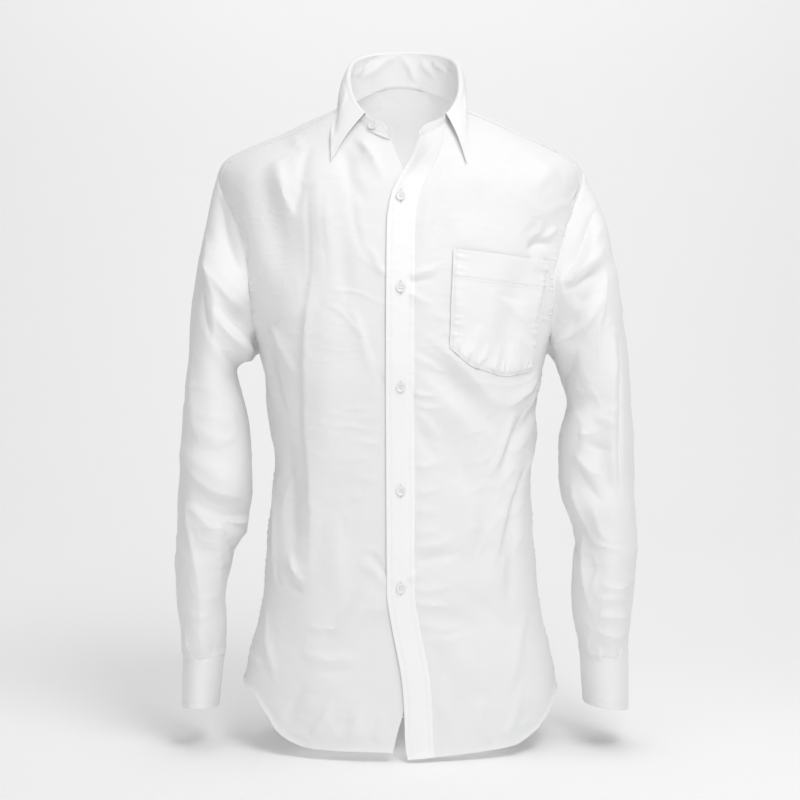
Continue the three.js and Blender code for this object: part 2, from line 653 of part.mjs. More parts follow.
// The rings start with the armhole's own outline and take on the table's ovals as they go down.
function sleeveGrid(table, side) {
  const loop = armholeRing(side);
  const turns = sleeveTurns(loop);
  const firstRing = sample(table, "ring", 0);
  const offsets = loop.map(({ point }, j) => point.clone().sub(ringPoint(firstRing, turns[j])));
  const points = [loop.map(({ point }) => point)];
  for (const ring of SLEEVE_RINGS) {
    const keep = (1 - smoothstep(ring, 0, ARMHOLE_FADE)) ** 1.5;
    const row = sample(table, "ring", ring);
    const start = smoothstep(ring, 0, 2);
    const line = turns.map((turn, j) => {
      const point = ringPoint(row, turn).addScaledVector(offsets[j], keep);
      const out = new THREE.Vector3(Math.cos(turn) * side, -Math.sin(turn), 0);
      const height = start * foldHeight(SLEEVE_FOLDS, point, point.y - row.y);
      return point.addScaledVector(out, height);
    });
    points.push(line);
  }
  const count = turns.length;
  return points.map((line, i) =>
    line.map((point, j) => {
      if (i === 0) {
        return loop[j];
      }
      const below = points[Math.min(i + 1, points.length - 1)][j];
      const around = line[(j + 1) % count].clone().sub(line[(j + count - 1) % count]);
      const normal = around.cross(below.clone().sub(points[i - 1][j])).normalize();
      return { point, normal: normal.multiplyScalar(side) };
    }),
  );
}

// The cuff is a band that laps over itself, so its radius grows on its way round.
function cuffGrid(top, bottom) {
  const grid = [];
  for (const share of [0, 0.33, 0.66, 1]) {
    const ring = {};
    for (const name of Object.keys(bottom)) {
      ring[name] = mix(top[name] ?? 0, bottom[name], share);
    }
    ring.outZ -= HALF_SEAM * 2 * (1 - share);
    ring.inZ -= HALF_SEAM * 2 * (1 - share);
    const line = [];
    for (let step = 0; step <= CUFF_STEPS; step += 1) {
      const turn = radians(CUFF_START + (step / CUFF_STEPS) * (360 + CUFF_OVERLAP));
      const lift = CUFF_LAP_LIFT * (step / CUFF_STEPS);
      const point = ringPoint(ring, turn);
      const ahead = ringPoint(ring, turn + TURN_STEP).sub(ringPoint(ring, turn - TURN_STEP));
      const normal = new THREE.Vector3(ahead.y, -ahead.x, 0).normalize();
      if (normal.dot(point.clone().sub(ringPoint(ring, turn + Math.PI))) < 0) {
        normal.negate();
      }
      line.push({ point: point.addScaledVector(normal, lift), normal });
    }
    grid.push(line);
  }
  return grid;
}

function sleevePlacketGrid(table) {
  const { from, to, top, bottom } = SLEEVE_OPENING;
  const grid = [];
  for (let step = 0; step <= 6; step += 1) {
    const ring = mix(top, bottom, step / 6);
    grid.push(
      [0, 0.5, 1].map((share) => {
        const at = share === 0.5 && step === 0 ? ring - 0.25 : ring;
        return sleeve(table, at, radians(mix(from, to, share)), SLEEVE_PLACKET_LIFT + WALL);
      }),
    );
  }
  return grid;
}

function standBottom() {
  const right = frontColumns(NECK_ROW, -1, RIGHT_FRONT_EDGE).slice(0, -1);
  const left = frontColumns(NECK_ROW, 1, LEFT_FRONT_EDGE).slice(0, -1);
  const yoke = yokeGrid()[YOKE_STEPS].map(({ point }) => point);
  const fromAngle = (angle) => {
    const { point } = body(angle, NECK_ROW, centreLift(plainBody(angle, NECK_ROW).x));
    return { point, around: angle > 0 ? 180 - angle : -180 - angle };
  };
  const neckStart = YOKE_FRONT_ANGLE + gapAngle(NECK_REACH);
  const boundary = yokeBoundary();
  const yokePoints = yoke.map((point, index) => {
    const { angle } = boundary[index];
    const turn = (angle - boundary[0].angle) / (180 - boundary[0].angle);
    return { point, around: 180 - mix(neckStart, 180, turn) };
  });
  const leftPoints = left.map(fromAngle);
  return [...leftPoints, ...yokePoints, ...right.map(fromAngle).reverse()];
}

function standPoint(around) {
  const { x, y, z } = sample(STAND_TOP, "around", around);
  return new THREE.Vector3(x, y, z);
}

// Straight out from the neck at a point of the stand's top, level with the ground.
function standNormal(around) {
  const along = standPoint(around + 0.5).sub(standPoint(around - 0.5));
  return new THREE.Vector3(-along.y, along.x, 0).normalize();
}

// The stand's stations, with one added at each end of the leaf.
function standStations() {
  const stations = standBottom();
  for (const around of [LEAF_START, LEAF_END]) {
    const index = stations.findIndex((station) => station.around < around) - 1;
    const here = stations[index];
    const next = stations[index + 1];
    const share = (around - here.around) / (next.around - here.around);
    const point = here.point.clone().lerp(next.point, share);
    stations.splice(index + 1, 0, { point, around });
  }
  return stations;
}

function standGrid() {
  const bottom = standStations();
  const grid = [];
  for (const share of [0, 0.5, 1]) {
    grid.push(
      bottom.map(({ point, around }) => {
        const top = standPoint(around);
        const rise = top.clone().sub(point).normalize();
        const low = point.clone().addScaledVector(rise, STAND_GAP);
        return { point: low.lerp(top, share), normal: standNormal(around) };
      }),
    );
  }
  return grid;
}

// Moves a point of the leaf's outer face out until its wall clears the shoulders.
function clearOfBody(point) {
  let best = { distance: Infinity };
  const middle = THREE.MathUtils.radToDeg(Math.atan2(point.x, -point.y));
  for (let angle = middle - 24; angle <= middle + 24; angle += 3) {
    for (let row = 8.4; row <= NECK_ROW; row += 0.1) {
      const distance = plainBody(angle, row).distanceTo(point);
      if (distance < best.distance) {
        best = { distance, angle, row };
      }
    }
  }
  const { point: skin, normal } = body(best.angle, best.row, FRONT_LIFT / 3);
  const height = point.clone().sub(skin).dot(normal);
  const wanted = WALL + LEAF_CLEARANCE;
  return height < wanted ? point.clone().addScaledVector(normal, wanted - height) : point;
}

function leafGrid() {
  const stations = standStations().filter(
    ({ around }) => around >= LEAF_START && around <= LEAF_END,
  );
  const sideways = new THREE.Vector3();
  return stations.map(({ around }) => {
    const out = standNormal(around);
    const centre = standPoint(around).addScaledVector(out, LEAF_ROLL);
    centre.z += 2 * HALF_SEAM;
    const line = [];
    for (let turn = 0; turn <= LEAF_ROLL_STEPS; turn += 1) {
      const angle = radians((turn / LEAF_ROLL_STEPS) * 150);
      const normal = out.clone().multiplyScalar(-Math.cos(angle));
      normal.z += Math.sin(angle);
      line.push({ point: centre.clone().addScaledVector(normal, LEAF_ROLL + WALL), normal });
    }
    const edge = sample(LEAF_EDGE, "around", around);
    const rim = new THREE.Vector3(edge.x, edge.y, edge.z);
    const start = line[LEAF_ROLL_STEPS].point;
    sideways.set(-out.y, out.x, 0);
    const facing = rim.clone().sub(start).cross(sideways).normalize();
    for (let part = 1; part <= LEAF_STEPS; part += 1) {
      const share = part / LEAF_STEPS;
      const point = start.clone().lerp(rim, share);
      point.addScaledVector(facing, LEAF_BULGE * Math.sin(Math.PI * share));
      line.push({ point: clearOfBody(point), normal: facing });
    }
    return line;
  });
}

function placketGrid(grid) {
  return grid.map((line) =>
    line.slice(0, 3).map(({ point, normal }) => ({
      point: point.clone().addScaledVector(normal, LAYER_GAP + WALL),
      normal,
    })),
  );
}

function pocketGrid() {
  const grid = [];
  for (let i = 0; i <= POCKET_ROWS; i += 1) {
    const ends = sample(POCKET, "row", (i / POCKET_ROWS) * (POCKET.length - 1));
    const line = [];
    for (let j = 0; j <= POCKET_COLUMNS; j += 1) {
      const share = j / POCKET_COLUMNS;
      const sag = between(POCKET_BOTTOM, "across", share, "drop") * (i / POCKET_ROWS) ** 2;
      const x = mix(ends.leftX, ends.rightX, share);
      const z = mix(ends.leftZ, ends.rightZ, share) - sag;
      const { angle, row } = frontAt(x, z);
      line.push(body(angle, row, POCKET_LIFT + WALL));
    }
    grid.push(line);
  }
  return grid;
}

// A disc with a raised rim, turned round +Z and standing on the plane z = 0.
function buttonShape() {
  const profile = [
    { radius: BUTTON_RADIUS - 0.9, z: 0 },
    { radius: BUTTON_RADIUS, z: 0.7 },
    { radius: BUTTON_RADIUS, z: 1.8 },
    { radius: BUTTON_RADIUS - 0.8, z: 2.4 },
    { radius: BUTTON_RADIUS - 1.8, z: 1.8 },
  ];
  const positions = [0, 0, profile[0].z, 0, 0, profile[profile.length - 1].z];
  const faces = [];
  for (const { radius, z } of profile) {
    for (let side = 0; side < BUTTON_SIDES; side += 1) {
      const turn = (2 * Math.PI * side) / BUTTON_SIDES;
      positions.push(radius * Math.cos(turn), radius * Math.sin(turn), z);
    }
  }
  const corner = (ring, side) => 2 + ring * BUTTON_SIDES + (side % BUTTON_SIDES);
  const lastRing = profile.length - 1;
  for (let side = 0; side < BUTTON_SIDES; side += 1) {
    faces.push(0, corner(0, side + 1), corner(0, side));
    faces.push(1, corner(lastRing, side), corner(lastRing, side + 1));
    for (let ring = 0; ring < lastRing; ring += 1) {
      faces.push(corner(ring, side), corner(ring, side + 1), corner(ring + 1, side + 1));
      faces.push(corner(ring, side), corner(ring + 1, side + 1), corner(ring + 1, side));
    }
  }
  const geometry = new THREE.BufferGeometry();
  geometry.setAttribute("position", new THREE.Float32BufferAttribute(positions, 3));
  geometry.setIndex(faces);
  return geometry;
}

function buttonOn({ point, normal }, lift) {
  const geometry = buttonShape();
  const turn = new THREE.Quaternion().setFromUnitVectors(new THREE.Vector3(0, 0, 1), normal);
  geometry.applyQuaternion(turn);
  const place = point.clone().addScaledVector(normal, lift);
  geometry.translate(place.x, place.y, place.z);
  return geometry;
}

const shirt = new THREE.Group();
shirt.name = "dress_shirt";

function addPiece(name, geometry, colour = 0xf7f7f7) {
  const material = new THREE.MeshStandardMaterial({ color: colour, roughness: 0.85 });
  material.name = name;
  const mesh = new THREE.Mesh(geometry, material);
  mesh.name = name;
  shirt.add(mesh);
}

const leftFront = frontGrid(1, LEFT_FRONT_EDGE, centreLift);
addPiece("front_left", wall(leftFront));
addPiece("front_right", wall(frontGrid(-1, RIGHT_FRONT_EDGE, () => 0)));
addPiece("placket", wall(placketGrid(leftFront)));
addPiece("back", wall(backGrid()));
addPiece("yoke", wall(yokeGrid()));
addPiece("pocket", wall(pocketGrid()));
addPiece("collar_stand", wall(standGrid()));
addPiece("collar_leaf", wall(leafGrid()));

const ARMS = [
  { name: "right", side: -1, table: RIGHT_SLEEVE, cuff: RIGHT_CUFF },
  { name: "left", side: 1, table: LEFT_SLEEVE, cuff: LEFT_CUFF },
];
for (const { name, side, table, cuff } of ARMS) {
  const cuffRings = cuffGrid(table[table.length - 1], cuff);
  addPiece(`sleeve_${name}`, wall(sleeveGrid(table, side), { around: true }));
  addPiece(`cuff_${name}`, wall(cuffRings));
  addPiece(`sleeve_placket_${name}`, wall(sleevePlacketGrid(table)));
  const lap = cuffRings[1];
  addPiece(`button_cuff_${name}`, buttonOn(lap[lap.length - 2], LAYER_GAP), 0xf2f1ec);
}

BUTTON_HEIGHTS.forEach((height, index) => {
  const { angle, row } = frontAt(BUTTON_X, height);
  const face = body(angle, row, FRONT_LIFT);
  addPiece(`button_${index + 1}`, buttonOn(face, 2 * LAYER_GAP + WALL), 0xf2f1ec);
});
const standMiddle = standBottom().reduce((best, station) =>
  Math.abs(station.around - STAND_BUTTON_AROUND) < Math.abs(best.around - STAND_BUTTON_AROUND)
    ? station
    : best,
);
const standFace = {
  point: standMiddle.point.clone().lerp(standPoint(standMiddle.around), 0.5),
  normal: standNormal(standMiddle.around),
};
addPiece("button_collar", buttonOn(standFace, STAND_BUTTON_LIFT), 0xf2f1ec);

export default shirt;
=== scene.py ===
"""A long-sleeved dress shirt, filled out as if worn, with its collar open.

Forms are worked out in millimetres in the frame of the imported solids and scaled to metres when
a mesh is made. +Z is up, +Y is towards the shirt's back, +X is towards the wearer's left.
"""

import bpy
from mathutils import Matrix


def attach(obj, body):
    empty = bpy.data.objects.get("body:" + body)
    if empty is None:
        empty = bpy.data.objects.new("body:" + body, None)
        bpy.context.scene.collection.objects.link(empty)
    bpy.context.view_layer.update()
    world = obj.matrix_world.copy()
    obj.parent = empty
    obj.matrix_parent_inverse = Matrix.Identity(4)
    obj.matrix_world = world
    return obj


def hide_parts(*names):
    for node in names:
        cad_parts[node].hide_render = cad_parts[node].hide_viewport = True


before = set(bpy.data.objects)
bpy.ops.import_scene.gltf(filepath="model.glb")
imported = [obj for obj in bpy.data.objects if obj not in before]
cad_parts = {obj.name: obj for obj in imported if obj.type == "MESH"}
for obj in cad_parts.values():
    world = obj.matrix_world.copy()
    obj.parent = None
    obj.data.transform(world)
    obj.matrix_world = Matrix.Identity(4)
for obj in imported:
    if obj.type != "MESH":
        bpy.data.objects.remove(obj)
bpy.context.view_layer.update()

import math

import bpy
import numpy as np
from mathutils import Vector

MM = 0.001
CLOTH = 0.7  # thickness of one layer of shirting as it shows, in millimetres
FUSED = 1.3  # thickness of the collar and cuffs, which are two layers with a stiffener
UP = np.array([0, 0, 1.0])
RING_POWER = 2.25  # 2 would make the body's rings ellipses, more is squarer
FRONT_LIFT = 2.2  # how far the left front stands off the right front at the centre
LIFT_FULL = 20  # out to this x it does so fully
LIFT_ENDS = 48  # and from this x on it doesn't
PLACKET_WIDTH = 34
PLACKET_SHARE = 0.135  # the share of a front's columns that lie under the placket
PLACKET_LIFT = 1.0
FRONT_DIP = 28  # degrees that the armhole cuts into the front
BACK_DIP = 26
DIP_POWER = 0.7
ARMPIT_ROW = 6
SHOULDER_ROW = 9
YOKE_ROW = 8.6
NECK_ROW = 11
YOKE_FRONT_ANGLE = 69
HEM_SEARCH_ROW = 0.2  # the row at whose centre edges the search for the fronts' hem starts
SEAM_LAP = 3.0  # how far a piece runs on under its neighbour at a seam
SEAM_STEP = 0.9  # how far it goes down there
RUN_ON = 1.3  # the same lap as an angle round the body
RUN_ON_ROWS = 0.04
PANEL_PITCH = 2.8  # size of the mesh's cells
ARMHOLE_PITCH = 1.4
CUFF_PITCH = 1.8
POCKET_PITCH = 1.3
BACK_PITCH = 3.8
# Rough spans of the pieces, from which their cells are counted.
FRONT_SPAN = 245
BACK_SPAN = 430
BODY_LENGTH = 452
ARMHOLE_LENGTH = 196
SHOULDER_LENGTH = 112
YOKE_SPAN = 150
SLEEVE_LENGTH = 585
CUFF_DEPTH = 66
CUFF_ROUND = 230
POCKET_DEPTH = 134
POCKET_SPAN = 114
CAMERA_PLACE = (0, -2.2639, -0.2354)
CAMERA_LENS = 85
CAMERA_SENSOR = 36
CAMERA_SHIFT = -0.5 / 800  # half a pixel
CAMERA_TILT = 3  # degrees that the camera looks down
FLOOR_Z = -0.7655


def table(columns, rows):
    return dict(zip(columns.split(), np.array(rows, float).T))


# Rows of the body from below the hem up to the neck seam: half widths on -X and +X, and the
# depth y and height z of the side, front and back.
BODY = table("row left right side_y side_z front_y front_z back_y back_z", [
    (0, 186, 182, 0, -772, -116, -772, 120, -772),
    (1, 189, 186, 0, -690, -115, -690, 118, -690),
    (2, 168, 166, 0, -600, -113, -600, 113, -600),
    (3, 159, 159, 0, -510, -112, -510, 107, -510),
    (4, 149, 157, 0, -420, -113, -420, 105, -420),
    (5, 157, 166, 0, -350, -118, -350, 109, -350),
    (6, 167, 175, 0, -298, -123, -298, 113, -298),
    (7, 190, 193, 2, -230, -125, -230, 115, -220),
    (8, 203, 206, 4, -155, -118, -163, 110, -135),
    (9, 213, 214, 5, -75, -108, -108, 97, -50),
    (10, 138, 143, 4, -36, -98, -80, 85, -10),
    (11, 68, 74, 2, -4, -88, -52, 75, 25),
])
HEM = table("angle z", [
    (-180, -764), (-150, -757), (-130, -733), (-112, -701), (-100, -691), (-90, -690),
    (-77, -691), (-64, -697), (-53, -719), (-48, -735), (-42, -745), (-33, -752), (-3, -754),
    (1, -761), (4, -761), (30, -755), (44, -751), (53, -742), (62, -727), (75, -704), (90, -697),
    (100, -697), (112, -705), (130, -735), (150, -757), (180, -764),
])
# The two centre edges as x for each height.
LEFT_EDGE = table("z x", [
    (-762, 8.5), (-751, 6.3), (-728, 5.1), (-705, 4.4), (-682, 2.9), (-659, 0), (-635, -4.6),
    (-612, -9.1), (-589, -13.2), (-570, -15.4), (-150, -15.4), (-113, -9.7), (-88, 2.5),
    (-69, 13), (-51, 21),
])
RIGHT_EDGE = table("z x", [
    (-754, -9), (-729, -3), (-706, 4), (-680, 11), (-640, 16), (-600, 17), (-150, 17),
    (-113, 11), (-79, 0), (-51, -12),
])
# Rings of the sleeves from the armhole to the cuff's seam: the points away from and next to the
# body, half the depth, and the depth's middle.
RING = "ring out_x out_z in_x in_z half y"
RIGHT_SLEEVE = table(RING, [
    (0, -214, -77, -167, -297, 62, 3),
    (1, -225, -116, -173, -301, 70, 3),
    (2, -236, -165, -178, -308, 75, 2),
    (3, -244.5, -225, -188, -311, 76, 1),
    (4, -252, -290, -195.5, -322, 75, 0),
    (5, -257, -350, -188, -355, 74, -1),
    (6, -262, -405, -180, -402, 74, -3),
    (7, -264, -450, -178, -448, 74, -5),
    (8, -266, -485, -181, -485, 71, -6),
    (9, -267, -515, -187, -512, 69, -7),
    (10, -268, -550, -200, -540, 66, -9),
    (11, -267.5, -590, -209, -585, 62, -12),
    (12, -264, -630, -209, -628, 57, -15),
    (13, -260, -655, -213, -656, 47, -17),
])
LEFT_SLEEVE = table(RING, [
    (0, 215, -77, 175, -297, 62, 3),
    (1, 230, -108, 181, -303, 70, 3),
    (2, 245, -152, 186, -312, 75, 2),
    (3, 258, -205, 192, -325, 76, 1),
    (4, 266, -270, 199, -344, 75, 0),
    (5, 272.5, -325, 201, -363, 73, -1),
    (6, 277, -385, 192, -394, 73, -3),
    (7, 279, -430, 191, -430, 74, -4),
    (8, 280.5, -475, 194, -465, 72, -6),
    (9, 281, -512, 207, -506, 68, -7),
    (10, 281, -550, 207, -545, 66, -9),
    (11, 279, -588, 205, -582, 62, -12),
    (12, 275.5, -626, 210, -622, 57, -15),
    (13, 272, -652, 217, -653, 48, -17),
])
LAST_RING = 13
CUFF_RING = "out_x out_z in_x in_z half y tilt"
RIGHT_CUFF = dict(zip(CUFF_RING.split(), (-260.5, -719, -219, -719, 44, -22, 5)))
LEFT_CUFF = dict(zip(CUFF_RING.split(), (271.5, -721, 220.5, -714, 45, -22, 3)))
CUFF_OVERLAP = 28  # degrees that the cuff's ends overlap
CUFF_LAP_LIFT = 2.4  # how far the outer end stands off the inner one
CUFF_START = -78
CUFF_TUCK = 6.0  # how far the sleeve runs on inside the cuff
OPENING_TURNS = (-64, -44)  # the sleeve placket's sides, in degrees from the outside
OPENING_RINGS = (10.2, 12.95)  # its top and bottom
ARMHOLE_FADE = 3.5  # the ring from which the sleeve's rings no longer follow the armhole
# The collar by angle round the neck from the centre back: the top of the stand, where the leaf
# folds over, and the leaf's free edge.
STAND_TOP = table("around x y z", [
    (-168, -16, -87, -34), (-146, -40, -68, -21), (-118, -55, -38, 2), (-90, -60.5, 0, 30),
    (-60, -54, 37, 52.5), (-30, -29, 63, 63.5), (0, 5.5, 71, 66.5), (30, 40, 63, 63.5),
    (60, 63.5, 37, 52.5), (90, 69.5, 0, 30), (118, 66, -38, 1), (142, 51, -68, -22),
    (162, 24, -87, -35),
])
LEAF_EDGE = table("around x y z", [
    (-146, -79.5, -91, -74.5), (-132, -80, -75, -51), (-118, -80, -50, -26),
    (-104, -79, -23, -11), (-90, -76.5, 2, -5.5), (-60, -71, 51, 3), (-30, -38, 83, 15),
    (0, 5.5, 93, 20), (30, 49, 83, 15), (60, 77, 51, 3), (90, 77, 2, -1), (104, 77, -25, -7),
    (118, 77, -52, -22), (130, 77, -77, -51), (142, 76, -95, -79),
])
LEAF_ROLL = 1.5  # inner radius of the fold at the leaf's top
LEAF_BULGE = 3
LEAF_CLEARANCE = 1.3
STAND_BUTTON_AROUND = -154
STAND_HOLE = (30.0, -88.0, -44.0)
POCKET = table("row left_x left_z right_x right_z", [
    (0, 60, -176, 172, -190),
    (1, 58.5, -214, 166, -228),
    (2, 57, -252, 160, -270),
    (3, 56, -288, 153.5, -316),
])
POCKET_BOTTOM = table("across drop", [
    (0, 0), (0.22, 13), (0.45, 15), (0.66, 15), (0.85, 7), (1, 0),
])
BUTTON_HEIGHTS = (-116, -220, -333, -452, -564)
BUTTON_X = 0.5
BUTTON_RADIUS = 5.5

# Soft folds of the forms: face -1 is the front and 1 the back, then the two ends in x and z,
# the width and the height.
FOLD = "face x1 z1 x2 z2 width height"
BODY_FOLDS = table(FOLD, [
    (-1, -150, -76, -122, -150, 17, 1.2),
    (-1, -128, -100, -112, -230, 15, -3.5),
    (-1, -104, -210, -108, -430, 16, -4.0),
    (-1, -80, -240, -84, -440, 18, 2.5),
    (-1, -118, -520, -92, -690, 24, 3.0),
    (-1, 150, -165, 178, -158, 15, -3.5),
    (-1, 128, -400, 112, -600, 26, 3.0),
    (-1, 70, -380, 118, -470, 20, -2.5),
    (1, -120, -130, -96, -330, 24, 3.5),
    (1, 124, -140, 92, -350, 24, 3.0),
    (1, -60, -380, 70, -420, 22, 3.0),
    (1, 50, -470, 84, -700, 28, 3.5),
    (1, -70, -460, -52, -690, 26, 3.0),
])
SLEEVE_FOLDS = table(FOLD, [
    (-1, -228, -168, -184, -236, 11, 4.0),
    (-1, -216, -232, -170, -266, 12, -5.5),
    (-1, -216, -236, -172, -298, 10, 4.0),
    (-1, -240, -150, -236, -285, 12, -3.0),
    (-1, -258, -410, -190, -452, 13, 5.5),
    (-1, -242, -458, -182, -482, 11, -6.0),
    (-1, -256, -490, -206, -512, 14, 3.5),
    (-1, -240, -520, -226, -630, 14, 3.0),
    (1, -262, -330, -196, -420, 16, 4.0),
    (1, -258, -440, -196, -490, 14, -4.5),
    (1, -224, -180, -206, -300, 18, 3.5),
    (-1, 243, -170, 194, -220, 11, 4.0),
    (-1, 236, -198, 200, -238, 9, -4.5),
    (-1, 236, -226, 176, -303, 13, 4.5),
    (-1, 204, -250, 196, -290, 11, -4.5),
    (-1, 246, -205, 252, -460, 12, 4.0),
    (-1, 222, -395, 246, -462, 13, -5.5),
    (-1, 206, -360, 214, -420, 14, 3.5),
    (-1, 214, -490, 226, -560, 13, -4.0),
    (-1, 244, -500, 240, -630, 14, 3.0),
    (1, 270, -330, 208, -430, 16, 4.0),
    (1, 268, -450, 206, -500, 14, -4.5),
    (1, 232, -180, 214, -300, 18, 3.5),
])

# Creases, from end to end in x and z with a sideways bow at the middle. `skew` makes one side
# steeper, `sharp` is 2 for a round top and less for a crisp one, and `peak` is where along it the
# crease is highest.
CREASE = "x1 z1 x2 z2 bow width height skew sharp peak"
RIGHT_FRONT_CREASES = table(CREASE, [
    (-101, -180, -103, -585, 0, 40, 6.0, 0, 1.4, 0.42),
    (-162, -70, -130, -222, 2, 21, -4.6, 0, 2, 0.5),
    (-103, -70, -104, -236, 2, 3, -0.7, 0, 1.5, 0.5),
    (-88, -90, -84, -214, 2, 3, -0.5, 0, 1.5, 0.5),
    (-62, -80, -40, -190, 3, 5, -0.9, 0, 1.6, 0.5),
    (-143, -72, -121, -141, 2, 9, 2.8, 0.4, 1.3, 0.45),
    (-107, -54, -124, -140, -2, 7, -2.0, 0, 1.7, 0.6),
    (-104, -236, -142, -266, 2, 8, 1.4, 0.3, 1.4, 0.4),
    (-128, -42, -110, -62, 1, 5, 1.4, 0.2, 1.6, 0.5),
    (-53, -47, -19, -98, -3, 7, 2.2, 0.3, 1.5, 0.4),
    (-44, -50, -27, -76, 1, 4, 1.3, 0, 1.5, 0.5),
    (-66, -58, -40, -128, 4, 9, -1.6, 0, 2, 0.4),
    (-36, -172, -17, -206, 1, 5, 1.5, 0.2, 1.4, 0.8),
    (-54, -242, -17, -324, 4, 7, 2.0, 0.3, 1.4, 0.7),
    (-40, -262, -17, -332, 3, 5, -1.4, 0, 2, 0.7),
    (-101, -204, -104, -400, 2, 9, 2.4, -0.4, 1.1, 0.3),
    (-104, -350, -103, -560, -2, 10, 1.8, -0.4, 1.2, 0.4),
    (-126, -390, -121, -545, 3, 13, -2.6, 0, 2, 0.6),
    (-126, -526, -110, -560, 6, 6, 2.6, 0.3, 1.4, 0.5),
    (-134, -556, -112, -574, 2, 6, -1.6, 0, 2, 0.5),
    (-70, -357, -34, -357, 1, 2.4, 0.6, 0, 1.5, 0.6),
    (-78, -378, -28, -381, 1, 2.2, 0.5, 0, 1.5, 0.5),
    (-60, -396, -20, -399, -1, 2.4, 0.5, 0, 1.5, 0.6),
    (-72, -418, -34, -416, 1, 2.4, 0.6, 0, 1.5, 0.4),
    (-58, -436, -18, -440, 1, 2.4, 0.5, 0, 1.5, 0.6),
    (-110, -610, -66, -612, 2, 4, 1.2, 0.3, 1.5, 0.4),
    (-113, -642, -46, -646, 3, 4.5, 1.4, 0.3, 1.5, 0.5),
    (-96, -664, -52, -660, -1, 4, -0.9, 0, 2, 0.5),
    (-84, -624, -19, -546, 4, 15, 2.6, 0.3, 1.8, 0.6),
    (-66, -648, -16, -590, 3, 12, -1.8, 0, 2, 0.6),
    (-48, -536, -16, -561, -4, 5, 1.7, 0.3, 1.4, 0.7),
    (-42, -524, -16, -548, -3, 4, -1.2, 0, 2, 0.7),
    (-104, -738, -80, -692, 2, 6, 1.8, 0.3, 1.5, 0.4),
    (-136, -724, -112, -676, 3, 8, -1.5, 0, 2, 0.4),
    (-60, -742, -48, -700, 2, 7, 1.4, 0.2, 1.7, 0.3),
    (-28, -744, -22, -706, 1, 6, 1.2, 0.2, 1.7, 0.3),
    (-146, -262, -112, -320, 5, 10, 2.2, 0.3, 1.6, 0.3),
    (-152, -290, -124, -372, 5, 11, -2.2, 0, 2, 0.3),
    (-158, -330, -140, -420, 4, 9, 1.6, 0.3, 1.6, 0.4),
    (-92, -94, -82, -180, 2, 12, 1.4, 0, 2, 0.5),
    (-66, -150, -58, -238, 2, 10, -1.2, 0, 2, 0.5),
    (-76, -470, -66, -590, 2, 14, 1.6, 0.2, 2, 0.5),
    (-150, -446, -144, -580, 3, 9, 1.4, 0.2, 1.6, 0.5),
    (-160, -600, -146, -672, 3, 8, 1.5, 0.2, 1.6, 0.6),
])
